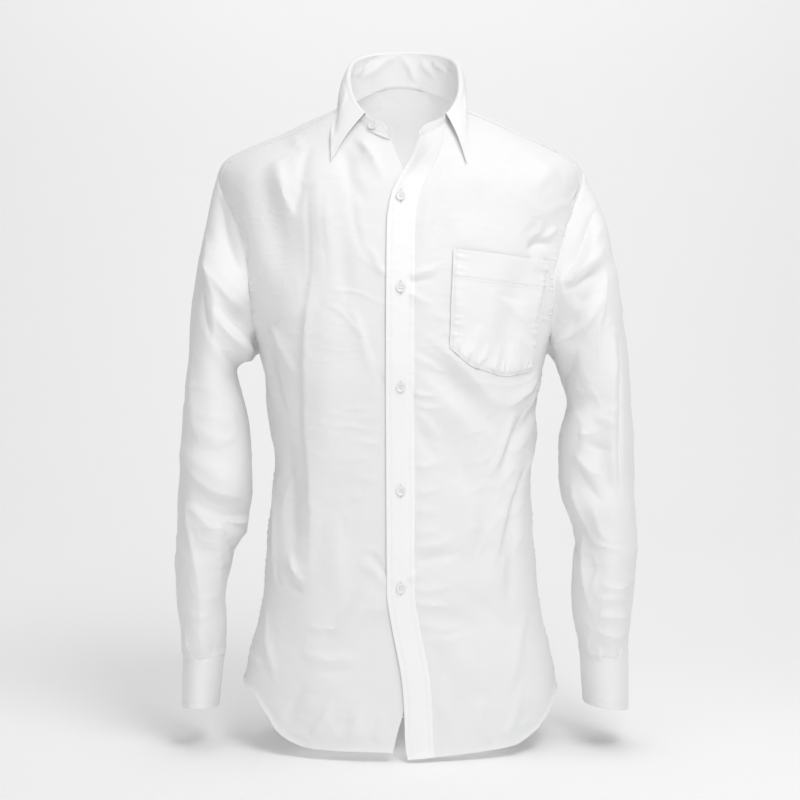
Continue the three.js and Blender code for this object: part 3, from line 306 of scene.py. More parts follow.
LEFT_FRONT_CREASES = table(CREASE, [
    (54, -36, -2, -110, 0, 9, 1.6, 0.2, 1.5, 0.5),
    (146, -186, 122, -324, 5, 17, -3.2, 0.2, 2, 0.5),
    (112, -196, 104, -300, 3, 12, 1.2, 0.2, 2, 0.5),
    (26, -44, 0, -100, 0, 12, -3.0, 0, 2, 0.5),
    (20, -352, 128, -540, -6, 20, -2.2, 0.2, 2, 0.4),
    (152, -424, 119, -540, 3, 10, -2.4, 0, 1.4, 0.5),
    (144, -430, 108, -545, 3, 7, 1.8, 0.3, 1.3, 0.5),
    (40, -588, 112, -614, 4, 14, -1.8, 0.2, 2, 0.5),
    (9, -208, 52, -189, 2, 5, 1.7, 0.3, 1.4, 0.2),
    (9, -216, 40, -206, 1, 4, -1.4, 0, 2, 0.2),
    (9, -227, 36, -242, -2, 5, 1.6, 0.3, 1.4, 0.2),
    (18, -290, 110, -386, -5, 14, -3.4, 0.2, 2, 0.55),
    (30, -276, 116, -362, -4, 11, 2.4, -0.4, 1.6, 0.5),
    (18, -312, 92, -402, -4, 9, 1.8, 0.3, 1.6, 0.5),
    (16, -296, 56, -317, 2, 4.5, 1.6, 0.3, 1.4, 0.3),
    (14, -340, 42, -346, -2, 4, 1.5, 0.3, 1.4, 0.25),
    (16, -352, 52, -356, 2, 4, 1.3, 0.3, 1.4, 0.3),
    (16, -362, 46, -395, -3, 6, 1.6, 0.3, 1.5, 0.3),
    (18, -380, 40, -424, -3, 7, -1.3, 0, 2, 0.4),
    (114, -438, 147, -356, 4, 11, -3.8, 0, 1.4, 0.4),
    (100, -440, 132, -362, 4, 8, 2.8, 0.3, 1.2, 0.5),
    (18, -424, 48, -420, 1, 4.5, 1.3, 0.2, 1.5, 0.2),
    (18, -453, 46, -449, 1, 4.5, 1.3, 0.2, 1.5, 0.2),
    (18, -478, 44, -476, -1, 4.5, 1.1, 0.2, 1.5, 0.2),
    (18, -497, 50, -502, 1, 4.5, 1.2, 0.2, 1.5, 0.2),
    (17, -532, 72, -522, 2, 7, -2.0, 0, 1.7, 0.3),
    (17, -518, 60, -506, 2, 6, 1.3, 0.2, 1.6, 0.3),
    (8, -552, 24, -546, 1, 4, 1.3, 0.2, 1.4, 0.3),
    (15, -583, 58, -592, -5, 5, 1.7, 0.3, 1.4, 0.3),
    (15, -566, 60, -562, 2, 4.5, 1.0, 0.2, 1.5, 0.3),
    (18, -604, 72, -612, 3, 5, 1.2, 0.2, 1.5, 0.3),
    (22, -624, 84, -618, 3, 6, 1.2, 0.2, 1.6, 0.4),
    (145, -178, 176, -172, -6, 6, -3.0, 0, 1.6, 0.4),
    (160, -164, 182, -150, 2, 6, 2.2, 0.3, 1.5, 0.6),
    (152, -184, 170, -200, 2, 6, 1.8, 0.3, 1.5, 0.4),
    (148, -166, 164, -142, 2, 8, 1.6, 0.2, 1.6, 0.5),
    (180, -82, 152, -110, 2, 9, 1.6, 0.2, 1.7, 0.4),
    (150, -62, 118, -96, 2, 12, -1.4, 0, 2, 0.4),
    (66, -62, 40, -128, 4, 9, 1.6, 0.3, 1.6, 0.4),
    (90, -96, 74, -166, 2, 13, -1.4, 0, 2, 0.5),
    (40, -100, 26, -176, 3, 8, 1.4, 0.2, 1.7, 0.5),
    (164, -320, 120, -362, -5, 9, 2.4, 0.4, 1.5, 0.3),
    (170, -338, 132, -400, -5, 10, -2.2, 0, 2, 0.3),
    (162, -372, 146, -448, -4, 9, 1.8, 0.3, 1.6, 0.4),
    (96, -420, 78, -540, 4, 16, 1.8, 0.2, 2, 0.5),
    (140, -466, 128, -600, 4, 12, -1.8, 0, 2, 0.5),
    (60, -440, 96, -500, -3, 9, 1.4, 0.3, 1.6, 0.5),
    (46, -610, 108, -690, 6, 16, 1.8, 0.2, 2, 0.5),
    (64, -560, 138, -618, 6, 13, -1.6, 0, 2, 0.5),
    (150, -600, 128, -690, 4, 11, 1.6, 0.2, 1.8, 0.5),
    (44, -660, 62, -742, 3, 10, 1.3, 0.2, 1.8, 0.6),
    (96, -690, 104, -748, 3, 9, 1.5, 0.2, 1.6, 0.7),
    (120, -742, 142, -680, 3, 7, 1.6, 0.2, 1.6, 0.3),
])
BACK_CREASES = table(CREASE, [
    (-176, -150, -128, -214, 4, 10, 3.0, 0.4, 1.5, 0.3),
    (-182, -190, -138, -268, 4, 10, -2.6, 0, 2, 0.3),
    (178, -160, 132, -228, -4, 10, 2.8, 0.4, 1.5, 0.3),
    (184, -204, 140, -290, -4, 10, -2.6, 0, 2, 0.3),
    (-158, -262, -96, -356, 6, 12, 2.4, 0.3, 1.6, 0.3),
    (162, -270, 104, -372, -6, 12, 2.2, 0.3, 1.6, 0.3),
    (-40, -70, -34, -300, 5, 14, 1.8, 0.2, 2, 0.3),
    (46, -72, 34, -320, -5, 14, 1.6, 0.2, 2, 0.3),
    (-118, -392, 12, -426, 8, 11, 2.6, 0.4, 1.5, 0.4),
    (-90, -420, 60, -448, 9, 11, -2.2, 0, 2, 0.5),
    (124, -404, -10, -466, -8, 12, 2.4, 0.4, 1.5, 0.4),
    (104, -470, 20, -512, -5, 11, 1.8, 0.3, 1.6, 0.4),
    (-106, -470, -40, -520, 5, 12, 1.8, 0.3, 1.6, 0.4),
    (-144, -520, -120, -690, 6, 14, 2.0, 0.2, 2, 0.6),
    (138, -530, 118, -700, -6, 14, 2.0, 0.2, 2, 0.6),
    (-14, -540, -24, -740, 4, 18, 1.8, 0.2, 2, 0.7),
    (54, -580, 66, -750, 4, 14, 1.6, 0.2, 2, 0.7),
    (-84, -610, -62, -750, 4, 13, 1.5, 0.2, 2, 0.7),
    (-30, -330, 50, -372, 5, 10, 1.6, 0.3, 1.6, 0.5),
    (-76, -250, -60, -380, 4, 14, -1.6, 0, 2, 0.5),
    (80, -240, 66, -380, 4, 14, -1.6, 0, 2, 0.5),
])
RIGHT_SLEEVE_CREASES = table(CREASE, [
    (-230, -160, -216, -290, -5, 7, 2.4, 0.3, 1.2, 0.5),
    (-213, -112, -184, -206, 4, 9, -4.0, 0, 1.6, 0.55),
    (-232, -181, -185, -248, 3, 10, 3.8, 0.35, 1.1, 0.45),
    (-213, -238, -172, -268, 0, 10, -4.8, 0, 1.8, 0.65),
    (-217, -243, -168, -300, 6, 8, 3.6, 0.35, 1.1, 0.45),
    (-227, -220, -219, -286, 2, 5, -1.8, 0, 1.3, 0.5),
    (-216, -272, -190, -314, 4, 6, -1.8, 0, 1.4, 0.5),
    (-226, -262, -200, -318, 4, 7, 2.0, 0.3, 1.2, 0.5),
    (-254, -424, -186, -466, 5, 11, 4.0, 0.35, 1.05, 0.55),
    (-240, -468, -180, -490, 4, 8, -4.6, 0, 1.4, 0.65),
    (-242, -476, -180, -498, 3, 6, 3.4, 0.3, 1.1, 0.7),
    (-214, -488, -178, -506, 2, 6, -2.2, 0, 1.4, 0.6),
    (-250, -470, -200, -506, 4, 8, 2.4, 0.3, 1.2, 0.4),
    (-204, -488, -192, -560, 3, 8, -2.6, 0, 1.4, 0.5),
    (-251, -466, -234, -614, -4, 7, 2.6, 0.3, 1.1, 0.4),
    (-214, -500, -206, -600, 3, 7, 1.8, 0.3, 1.3, 0.5),
    (-250, -332, -206, -338, 2, 3, 0.7, 0, 1.5, 0.5),
    (-240, -364, -200, -372, 2, 4, 1.0, 0.2, 1.4, 0.5),
    (-236, -384, -196, -398, 2, 5, 1.2, 0.2, 1.4, 0.5),
    (-232, -496, -206, -500, 1, 3, 0.8, 0, 1.5, 0.5),
    (-238, -509, -210, -516, 1, 3, 0.8, 0, 1.5, 0.5),
    (-212, -548, -198, -558, 2, 4, -1.6, 0, 1.5, 0.5),
    (-244, -574, -212, -584, 2, 4, 1.0, 0.2, 1.4, 0.5),
    (-252, -598, -222, -604, 2, 4, 1.1, 0.2, 1.4, 0.5),
    (-256, -618, -244, -648, 1, 5, 1.6, 0.3, 1.2, 0.6),
    (-236, -616, -230, -654, 1, 5, 1.4, 0.3, 1.2, 0.8),
    (-222, -620, -220, -654, 1, 4, -1.2, 0, 1.5, 0.8),
    (-246, -300, -232, -410, 4, 12, 1.8, 0.2, 1.6, 0.5),
])
LEFT_SLEEVE_CREASES = table(CREASE, [
    (228, -130, 186, -211, -4, 7, -6.4, 0, 1.2, 0.55),
    (236, -148, 203, -206, -3, 7, 1.8, 0.3, 1.3, 0.5),
    (239, -172, 191, -218, -3, 8, 3.4, 0.35, 1.1, 0.5),
    (234, -200, 188, -222, -3, 6, -3.2, 0, 1.3, 0.5),
    (232, -212, 205, -228, -2, 5, 2.4, 0.3, 1.1, 0.5),
    (222, -222, 177, -274, 2, 15, -4.6, 0, 2, 0.6),
    (236, -229, 174, -293, -9, 8, 3.6, 0.35, 1.1, 0.45),
    (206, -292, 190, -352, 3, 12, -3.8, 0, 1.6, 0.4),
    (226, -258, 200, -300, 3, 6, -1.6, 0, 1.5, 0.5),
    (241, -205, 229, -322, 3, 8, 2.8, 0.3, 1.1, 0.5),
    (249, -262, 250, -466, 4, 9, 2.6, -0.3, 1.2, 0.5),
    (256, -270, 257, -462, 2, 4, -2.4, 0, 1.3, 0.5),
    (224, -369, 252, -377, 1, 5, 1.9, 0.3, 1.2, 0.5),
    (207, -390, 231, -386, 1, 5, 1.8, 0.3, 1.2, 0.4),
    (212, -402, 246, -408, 1, 5, -1.5, 0, 1.5, 0.5),
    (202, -413, 231, -438, 3, 10, 3.4, 0.35, 1.05, 0.5),
    (203, -424, 236, -474, 3, 11, -4.2, 0, 1.6, 0.55),
    (200, -446, 224, -508, 3, 7, 2.4, 0.3, 1.2, 0.5),
    (222, -470, 246, -520, 3, 7, 1.9, 0.3, 1.3, 0.5),
    (201, -500, 214, -544, 3, 8, -2.8, 0, 1.5, 0.5),
    (216, -508, 222, -600, 3, 7, 2.0, 0.3, 1.2, 0.4),
    (232, -566, 270, -568, 2, 6, 2.6, 0.3, 1.2, 0.6),
    (228, -582, 268, -586, -2, 6, 2.6, 0.3, 1.2, 0.6),
    (230, -602, 268, -603, 2, 6, 2.8, 0.3, 1.2, 0.6),
    (230, -622, 266, -626, 2, 6, 2.4, 0.3, 1.2, 0.5),
    (232, -638, 238, -654, 1, 4, 1.4, 0.3, 1.3, 0.7),
    (250, -628, 252, -654, 1, 5, 1.5, 0.3, 1.3, 0.8),
    (222, -614, 226, -652, 1, 5, 1.3, 0.3, 1.3, 0.8),
    (256, -300, 236, -360, 4, 10, 1.6, 0.2, 1.6, 0.5),
])
LEAF_CREASES = table(CREASE, [
    (-66, 26, -79, -48, 3, 10, -2.3, 0.2, 1.8, 0.4),
    (-62, 34, -72, -20, -2, 4, 0.8, 0.2, 1.5, 0.4),
    (72, 22, 76, -30, 2, 6, -0.8, 0.2, 1.6, 0.4),
    (-79, -30, -76, -60, 1, 5, 0.6, 0.2, 1.6, 0.5),
])
STAND_CREASES = table(CREASE, [
    (-6, 64, -50, 34, 2, 5, -1.7, 0.3, 1.3, 0.4),
    (2, 64, 20, 34, 1, 5, -1.5, 0.3, 1.3, 0.5),
    (-24, 62, -52, 48, 1, 4, 1.0, 0, 1.5, 0.5),
    (26, 60, 44, 34, 2, 5, -1.2, 0.2, 1.4, 0.3),
    (40, 58, 58, 40, 1, 3.5, -1.2, 0.2, 1.3, 0.3),
    (52, 54, 64, 38, 1, 3.5, 1.2, 0.2, 1.3, 0.4),
    (58, 46, 68, 32, 1, 3, -1.0, 0.2, 1.3, 0.4),
    (-44, 50, -58, 34, 1, 4, -1.0, 0.2, 1.4, 0.4),
])
POCKET_CREASES = table(CREASE, [
    (64, -186, 70, -300, 2, 7, 1.2, 0.3, 1.5, 0.6),
    (62, -316, 92, -262, 3, 8, 1.9, 0.3, 1.5, 0.3),
    (78, -322, 100, -282, 3, 6, 1.4, 0.3, 1.5, 0.3),
    (104, -328, 112, -280, 2, 7, 1.3, 0.3, 1.6, 0.2),
    (132, -322, 126, -284, 2, 6, 1.3, 0.3, 1.6, 0.2),
    (150, -308, 138, -270, 2, 6, 1.3, 0.3, 1.6, 0.2),
    (164, -200, 154, -268, 2, 7, 1.4, 0.3, 1.6, 0.4),
    (96, -210, 150, -236, -4, 9, -1.3, 0, 2, 0.5),
    (110, -232, 146, -262, -3, 7, 1.1, 0.2, 1.8, 0.5),
])


def smoothstep(value, low, high):
    s = np.clip((np.asarray(value, float) - low) / (high - low), 0, 1)
    return s * s * (3 - 2 * s)


def mix(a, b, share):
    return a + (b - a) * share


def unit(vectors):
    return vectors / np.maximum(np.linalg.norm(vectors, axis=-1, keepdims=True), 1e-9)


def hump(value, middle, reach):
    """1 at the middle, falling off softly to both sides."""
    return np.exp(-(((value - middle) / reach) ** 2))


def curve(rows, at):
    """Every column of a table at values of its first column, joined by smooth curves."""
    key, *names = rows
    keys = rows[key]
    at = np.asarray(at, float)
    i = np.clip(np.searchsorted(keys, at, side="right") - 1, 0, len(keys) - 2)
    before = np.maximum(i - 1, 0)
    after = np.minimum(i + 2, len(keys) - 1)
    span = keys[i + 1] - keys[i]
    s = (at - keys[i]) / span
    result = {}
    for name in names:
        v = rows[name]
        leaving = (v[i + 1] - v[before]) / (keys[i + 1] - keys[before]) * span
        arriving = (v[after] - v[i]) / (keys[after] - keys[i]) * span
        rise = v[i + 1] - v[i]
        cubic = leaving + arriving - 2 * rise
        square = 3 * rise - 2 * leaving - arriving
        result[name] = v[i] + s * (leaving + s * (square + s * cubic))
    return result


def plain_body(angle, row):
    """The body without folds, at an angle in degrees from the front and a row."""
    r = curve(BODY, row)
    sine = np.sin(np.radians(angle))
    cosine = np.cos(np.radians(angle))
    reach = np.abs(cosine) ** RING_POWER + np.abs(sine) ** RING_POWER
    scale = reach ** (-1 / RING_POWER)
    half = np.where(sine < 0, r["left"], r["right"])
    end_y = np.where(cosine > 0, r["front_y"], r["back_y"])
    end_z = np.where(cosine > 0, r["front_z"], r["back_z"])
    y = mix(r["side_y"], end_y, np.abs(cosine) * scale)
    z = mix(r["side_z"], end_z, cosine**2)
    return np.stack(np.broadcast_arrays(half * sine * scale, y, z), axis=-1)


def body_normal(angle, row):
    turn = plain_body(angle + 0.1, row) - plain_body(angle - 0.1, row)
    rise = plain_body(angle, np.minimum(row + 0.01, NECK_ROW)) - plain_body(angle, row - 0.01)
    return unit(np.cross(turn, rise))


def fold_height(folds, points, depth):
    """How far a table's soft folds move points out, with `depth` their distance from the side."""
    height = np.zeros(points.shape[:-1])
    for face, x1, z1, x2, z2, width, rise in zip(*folds.values()):
        dx, dz = x2 - x1, z2 - z1
        length = math.hypot(dx, dz)
        along = ((points[..., 0] - x1) * dx + (points[..., 2] - z1) * dz) / length**2
        across = ((points[..., 0] - x1) * dz - (points[..., 2] - z1) * dx) / length
        fade = smoothstep(along, -0.2, 0.3) * (1 - smoothstep(along, 0.7, 1.2))
        shape = rise * fade * hump(across, 0, width)
        height += np.where(face * depth >= 0, shape, 0)
    return height * smoothstep(np.abs(depth), 12, 45)


def body(angle, row, lift=0):
    """The body's outer face with its soft folds, moved out by `lift`, and its direction."""
    angle, row = np.broadcast_arrays(np.asarray(angle, float), np.asarray(row, float))
    points = plain_body(angle, row)
    normals = body_normal(angle, row)
    centre = np.where(points[..., 1] < 0, smoothstep(np.abs(points[..., 0]), 20, 50), 1)
    height = centre * fold_height(BODY_FOLDS, points, points[..., 1]) + lift
    return points + normals * height[..., None], normals


def angle_at_x(row, x):
    r = curve(BODY, row)
    share = np.clip(np.abs(x) / np.where(x < 0, r["left"], r["right"]), 0, 0.9999) ** RING_POWER
    return np.degrees(np.arctan((share / (1 - share)) ** (1 / RING_POWER))) * np.sign(x)


def solve_row(height_at, z, low, high):
    """The row at which height_at(row) is z, between two rows."""
    low = np.full(np.shape(z), float(low))
    high = np.full(np.shape(z), float(high))
    for _ in range(30):
        middle = (low + high) / 2
        under = height_at(middle) < z
        low = np.where(under, middle, low)
        high = np.where(under, high, middle)
    return low


def hem_row(angle):
    wrapped = np.where(angle > 180, angle - 360, angle)
    z = curve(HEM, wrapped)["z"]
    return solve_row(lambda row: plain_body(angle, row)[..., 2], z, 0, 3)


def armhole_dip(row):
    share = (np.asarray(row, float) - ARMPIT_ROW) / (SHOULDER_ROW - ARMPIT_ROW)
    return np.maximum(np.sin(math.pi * np.clip(share, 0, 1)), 0) ** DIP_POWER


def front_side_angle(row):
    """The angle at which a front ends towards the side, for a row."""
    dip = 90 - FRONT_DIP * armhole_dip(row)
    start = 90 - FRONT_DIP * armhole_dip(YOKE_ROW)
    yoke = mix(start, YOKE_FRONT_ANGLE, (row - YOKE_ROW) / (NECK_ROW - YOKE_ROW))
    return np.where(row <= YOKE_ROW, dip, yoke)


def centre_lift(x):
    """How far the left front is lifted over the right one."""
    return FRONT_LIFT * (1 - smoothstep(np.abs(x), LIFT_FULL, LIFT_ENDS))


def steps(length, pitch=PANEL_PITCH):
    """Even shares from 0 to 1 for cells of about a pitch along a length."""
    return np.linspace(0, 1, max(3, round(length / pitch)))


# Random fields. A generator with its own seed keeps each piece the same on every run.

WAVE_COUNT = 28


def waves(points, seed, size):
    """A smooth field of about -1 to 1 whose bumps are about `size` across."""
    rng = np.random.default_rng(seed)
    directions = unit(rng.normal(size=(WAVE_COUNT, 3)))
    rates = 2 * math.pi / (size * rng.uniform(1.4, 3.0, WAVE_COUNT))
    phases = rng.uniform(0, 2 * math.pi, WAVE_COUNT)
    total = np.zeros(points.shape[:-1])
    for direction, rate, phase in zip(directions, rates, phases):
        total += np.cos((points @ direction) * rate + phase)
    return total / math.sqrt(WAVE_COUNT)


def crumple(points, seed, size, height):
    """Short soft creases in all directions, some deeper than others."""
    lines = hump(waves(points, seed, size), 0, 0.32)
    strength = smoothstep(waves(points, seed + 1, 2.2 * size), -0.5, 1.2)
    return height * (lines - 0.4) * strength


def pucker(along, seed, size):
    """Uneven ripples along a seam, from 0 to 1."""
    rng = np.random.default_rng(seed)
    total = np.zeros(np.shape(along))
    for share, amount in ((1, 1), (0.62, 0.7), (1.7, 0.8)):
        phase = rng.uniform(0, 2 * math.pi)
        total += amount * np.cos(2 * math.pi * along / (size * share) + phase)
    strength = 0.6 + 0.4 * np.cos(2 * math.pi * along / (size * 7.3) + rng.uniform(0, 6))
    return np.clip(0.5 + 0.3 * total, 0, 1) ** 1.5 * strength


# Grids of points, as rows of columns, which the pieces of cloth are made on.


def distances(grid, axis):
    """Distance along one of the grid's two directions from its first line."""
    length = np.linalg.norm(np.diff(grid, axis=axis), axis=-1)
    start = np.zeros_like(np.take(length, [0], axis=axis))
    return np.cumsum(np.concatenate([start, length], axis=axis), axis=axis)


def from_edge(grid, edge):
    """Distance from an edge. A grid's first row is its bottom and its first column its left."""
    axis = 1 if edge in ("left", "right") else 0
    walked = distances(grid, axis)
    if edge in ("right", "top"):
        walked = walked.max(axis=axis, keepdims=True) - walked
    return walked


def from_sides(grid):
    return np.minimum(from_edge(grid, "left"), from_edge(grid, "right"))


def from_ends(grid):
    return np.minimum(from_edge(grid, "bottom"), from_edge(grid, "top"))


def interpolated(at, keys, values):
    """Points or directions at places between those of a line."""
    return np.stack([np.interp(at, keys, column) for column in values.T], axis=-1)


def grid_normals(grid, outwards, around=False):
    """Directions square to a grid's surface, on the side of `outwards`."""
    rows = np.gradient(grid, axis=0)
    if around:
        columns = np.roll(grid, -1, axis=1) - np.roll(grid, 1, axis=1)
    else:
        columns = np.gradient(grid, axis=1)
    normals = unit(np.cross(rows, columns))
    side = np.sign((normals * outwards).sum(axis=-1, keepdims=True))
    return normals * np.where(side == 0, 1, side)


# Creases.

CREASE_STEPS = 14
CREASE_WOBBLE = 1.6
CREASE_REACH = 3.2  # how far to each side a crease is worked out, in its widths
SHORTEST = 1e-6  # steps of a crease below this length are left out


def crease_line(start, end, bow, rng):
    """The line of a crease in x and z, bowed and a little unsteady."""
    share = np.linspace(0, 1, CREASE_STEPS)
    ahead = end - start
    sideways = np.array([ahead[1], -ahead[0]]) / math.hypot(*ahead)
    rate = rng.uniform(0.7, 1.6)
    phase = rng.uniform(0, 2 * math.pi)
    wobble = CREASE_WOBBLE * np.sin(2 * math.pi * share * rate + phase)
    offset = (bow + wobble) * np.sin(math.pi * share)
    return start + share[:, None] * ahead + offset[:, None] * sideways


def nearest_weights(points, places, count, power):
    """Which points are the nearest to places in x and z, with weights that add up to 1."""
    gaps = ((points[:, [0, 2]][None] - places[:, None]) ** 2).sum(axis=-1)
    near = np.argpartition(gaps, count, axis=1)[:, :count]
    weight = 1 / (np.take_along_axis(gaps, near, axis=1) + 0.5) ** power
    return near, (weight / weight.sum(axis=1, keepdims=True))[..., None]


def smooth_line(path, times):
    for _ in range(times):
        path = np.vstack([path[:1], (path[:-2] + 2 * path[1:-1] + path[2:]) / 4, path[-1:]])
    return path


def beside_path(path, points, normals):
    """How far along a path points lie as a share, how far away, and on which side."""
    nearest_yet = np.full(len(points), np.inf)
    along = np.zeros(len(points))
    side = np.zeros(len(points))
    spans = np.diff(path, axis=0)
    lengths = np.linalg.norm(spans, axis=1)
    total = max(lengths.sum(), SHORTEST)
    walked = 0.0
    for start, span, length in zip(path, spans, lengths):
        if length < SHORTEST:
            continue
        offset = points - start
        share = np.clip(offset @ span / length**2, 0, 1)
        gap = offset - share[:, None] * span
        distance = np.linalg.norm(gap, axis=1)
        closer = distance < nearest_yet
        nearest_yet = np.where(closer, distance, nearest_yet)
        along = np.where(closer, (walked + share * length) / total, along)
        turned = (np.cross(span / length, normals) * gap).sum(axis=1)
        side = np.where(closer, np.sign(turned), side)
        walked += length
    return along, nearest_yet, side


def facing_out(grid):
    """Directions away from a grid's own upright middle line."""
    out = grid - grid.mean(axis=(0, 1))
    out[..., 2] = 0
    return unit(out)


def crease_heights(grid, creases, seed, facing, strength):
    """How far creases move a grid out. Each is laid on the cells that face its way."""
    flat = grid.reshape(-1, 3)
    shown = flat[facing.reshape(-1)]
    normals = grid_normals(grid, facing_out(grid)).reshape(-1, 3)
    height = np.zeros(len(flat))
    rng = np.random.default_rng(seed)
    for x1, z1, x2, z2, bow, width, rise, skew, sharp, peak in zip(*creases.values()):
        line = crease_line(np.array([x1, z1]), np.array([x2, z2]), bow, rng)
        near, weight = nearest_weights(shown, line, 6, 1)
        path = smooth_line((shown[near] * weight).sum(axis=1), 2)
        reach = CREASE_REACH * width
        low, high = path.min(axis=0) - reach, path.max(axis=0) + reach
        close = np.flatnonzero(((flat > low) & (flat < high)).all(axis=1))
        along, away, side = beside_path(path, flat[close], normals[close])
        warped = np.where(along < peak, 0.5 * along / peak, 1 - 0.5 * (1 - along) / (1 - peak))
        softness = 0.8 + max(0, width - 8) / 32
        taper = np.sin(math.pi * np.clip(warped, 0.001, 0.999)) ** softness
        spread = width * (0.55 + 0.45 * taper) * (1 + skew * side)
        height[close] += strength * rise * taper * np.exp(-((away / spread) ** sharp))
    return height.reshape(grid.shape[:2])


# Meshes.

SMOOTH_BELOW = 40  # degrees between two faces, above which their edge stays sharp
RIM_BULGE = 0.4  # how far the rounded edges of cloth stand out, in thicknesses


def new_piece(name, vertices, faces, material, cloth_map=None):
    mesh = bpy.data.meshes.new(name)
    mesh.from_pydata((np.asarray(vertices) * MM).tolist(), [], faces)
    mesh.polygons.foreach_set("use_smooth", np.ones(len(mesh.polygons), bool))
    mesh.set_sharp_from_angle(angle=math.radians(SMOOTH_BELOW))
    if cloth_map is not None:
        layer = mesh.uv_layers.new(name="cloth")
        corners = np.zeros(len(mesh.loops), int)
        mesh.loops.foreach_get("vertex_index", corners)
        layer.data.foreach_set("uv", (cloth_map[corners] * MM).astype(np.float32).ravel())
    mesh.materials.append(material)
    piece = bpy.data.objects.new(name, mesh)
    bpy.context.scene.collection.objects.link(piece)
    return piece


def cloth_coordinates(grid):
    """How far each point lies across and along the flat cloth, in millimetres."""
    across = distances(grid, 1).mean(axis=0)
    along = distances(grid, 0).mean(axis=1)
    return np.stack(np.broadcast_arrays(across[None, :], along[:, None]), axis=-1)


def border_loops(index, around):
    """The closed loops of a grid's border, which start in the direction of its first row."""
    if around:
        return [index[0], index[-1][::-1]]
    return [np.concatenate([index[0, :-1], index[:-1, -1], index[-1, :0:-1], index[:0:-1, 0]])]


def shell(name, grid, normals, thickness, material, around=False):
    """A thin closed wall of cloth behind its outer face, with rounded edges."""
    rows, columns = grid.shape[:2]
    count = rows * columns
    index = np.arange(count).reshape(rows, columns)
    ahead = np.roll(index, -1, axis=1) if around else index[:, 1:]
    here = index if around else index[:, :-1]
    quads = np.stack([here[:-1], ahead[:-1], ahead[1:], here[1:]], axis=-1).reshape(-1, 4)
    loops = border_loops(index, around)
    outer = grid.reshape(-1, 3)
    out = normals.reshape(-1, 3)
    a, b, d = (outer[quads[:, k]] for k in (0, 1, 3))
    if (np.cross(b - a, d - a) * out[quads[:, 0]]).sum() < 0:
        quads = quads[:, ::-1]
        loops = [loop[::-1] for loop in loops]
    inner = outer - out * thickness
    border = np.concatenate(loops)
    i, j = np.divmod(border, columns)
    i = np.clip(i, 1, rows - 2)
    if not around:
        j = np.clip(j, 1, columns - 2)
    away = unit(outer[border] - outer[index[i, j]])
    middle = (outer[border] + inner[border]) / 2 + away * thickness * RIM_BULGE
    faces = [quads, quads[:, ::-1] + count]
    first = 2 * count
    for loop in loops:
        rim = np.arange(first, first + len(loop))
        next_loop, next_rim = np.roll(loop, -1), np.roll(rim, -1)
        faces.append(np.stack([next_loop, loop, rim, next_rim], axis=-1))
        faces.append(np.stack([next_rim, rim, loop + count, next_loop + count], axis=-1))
        first += len(loop)
    cloth_map = cloth_coordinates(grid).reshape(-1, 2)
    cloth_map = np.vstack([cloth_map, cloth_map, cloth_map[border]])
    vertices = np.vstack([outer, inner, middle])
    return new_piece(name, vertices, np.vstack(faces).tolist(), material, cloth_map)


def cloth_piece(node, part, grid, normals, height, thickness, material, around=False):
    """A piece of cloth on a grid moved out by a height: its outer face and its directions."""
    face = grid + normals * height[..., None]
    directions = grid_normals(face, normals, around)
    piece = shell(f"{node}_{part}", face, directions, thickness, material, around)
    dressed(piece, "shirting", node)
    return face, directions


# Threads.

STITCH_PITCH = 2.7
STITCH_LENGTH = 2.1
STITCH_RADIUS = 0.24
STITCH_SEAT = 0.35  # how far a stitch's middle stands off the cloth, in radii
STITCH_SIDES = 5
STITCH_RINGS = ((-0.5, 0.3), (-0.28, 1.0), (0.28, 1.0), (0.5, 0.3))  # place and thickness


def thread(starts, ends, normals, radius):
    """Small closed capsules from starts to ends, as vertices and faces."""
    starts, ends = np.asarray(starts, float), np.asarray(ends, float)
    along = ends - starts
    side = unit(np.cross(normals, along)) * radius
    up = unit(normals) * radius
    corners = []
    for share, thick in STITCH_RINGS:
        middle = (starts + ends) / 2 + along * share
        for k in range(STITCH_SIDES):
            turn = 2 * math.pi * k / STITCH_SIDES
            corners.append(middle + thick * (math.cos(turn) * side + math.sin(turn) * up))
    vertices = np.stack(corners, axis=1).reshape(-1, 3)
    size = len(corners)
    faces = [tuple(range(STITCH_SIDES)), tuple(range(size - 1, size - 1 - STITCH_SIDES, -1))]
    for ring in range(0, size - STITCH_SIDES, STITCH_SIDES):
        for k in range(STITCH_SIDES):
            a = ring + k
            b = ring + (k + 1) % STITCH_SIDES
            faces.append((b, a, a + STITCH_SIDES, b + STITCH_SIDES))
    bases = range(0, len(vertices), size)
    return vertices, [tuple(v + base for v in face) for base in bases for face in faces]


def merged(parts):
    """Several lots of vertices and faces as one."""
    vertices, faces = [], []
    base = 0
    for made, sides in parts:
        vertices.append(made)
        faces += [tuple(v + base for v in face) for face in sides]
        base += len(made)
    return np.vstack(vertices), faces


def add_threads(name, parts):
    dressed(new_piece(name, *merged(parts), SEWING), "shirting")


def edge_line(grid, edge, inset):
    """The points that lie `inset` in from one edge of a grid."""
    lines = np.swapaxes(grid, 0, 1) if edge in ("left", "right") else grid
    if edge in ("right", "top"):
        lines = lines[::-1]
    walked = distances(lines, 0)
    return np.stack([interpolated(inset, walked[:, j], lines[:, j]) for j in range(lines.shape[1])])


def resample(line, pitch):
    walked = distances(line, 0)
    return interpolated(np.arange(pitch / 2, walked[-1], pitch), walked, line)


def nearest_normals(points, cloths):
    """The directions of cloth at points, taken from every third point of its grid."""
    flat = np.vstack([cloth[0].reshape(-1, 3) for cloth in cloths])[::3]
    normals = np.vstack([cloth[1].reshape(-1, 3) for cloth in cloths])[::3]
    batches = np.array_split(points, len(points) // 60 + 1)
    near = [((flat[None] - part[:, None]) ** 2).sum(axis=-1).argmin(axis=1) for part in batches]
    return normals[np.concatenate(near)]


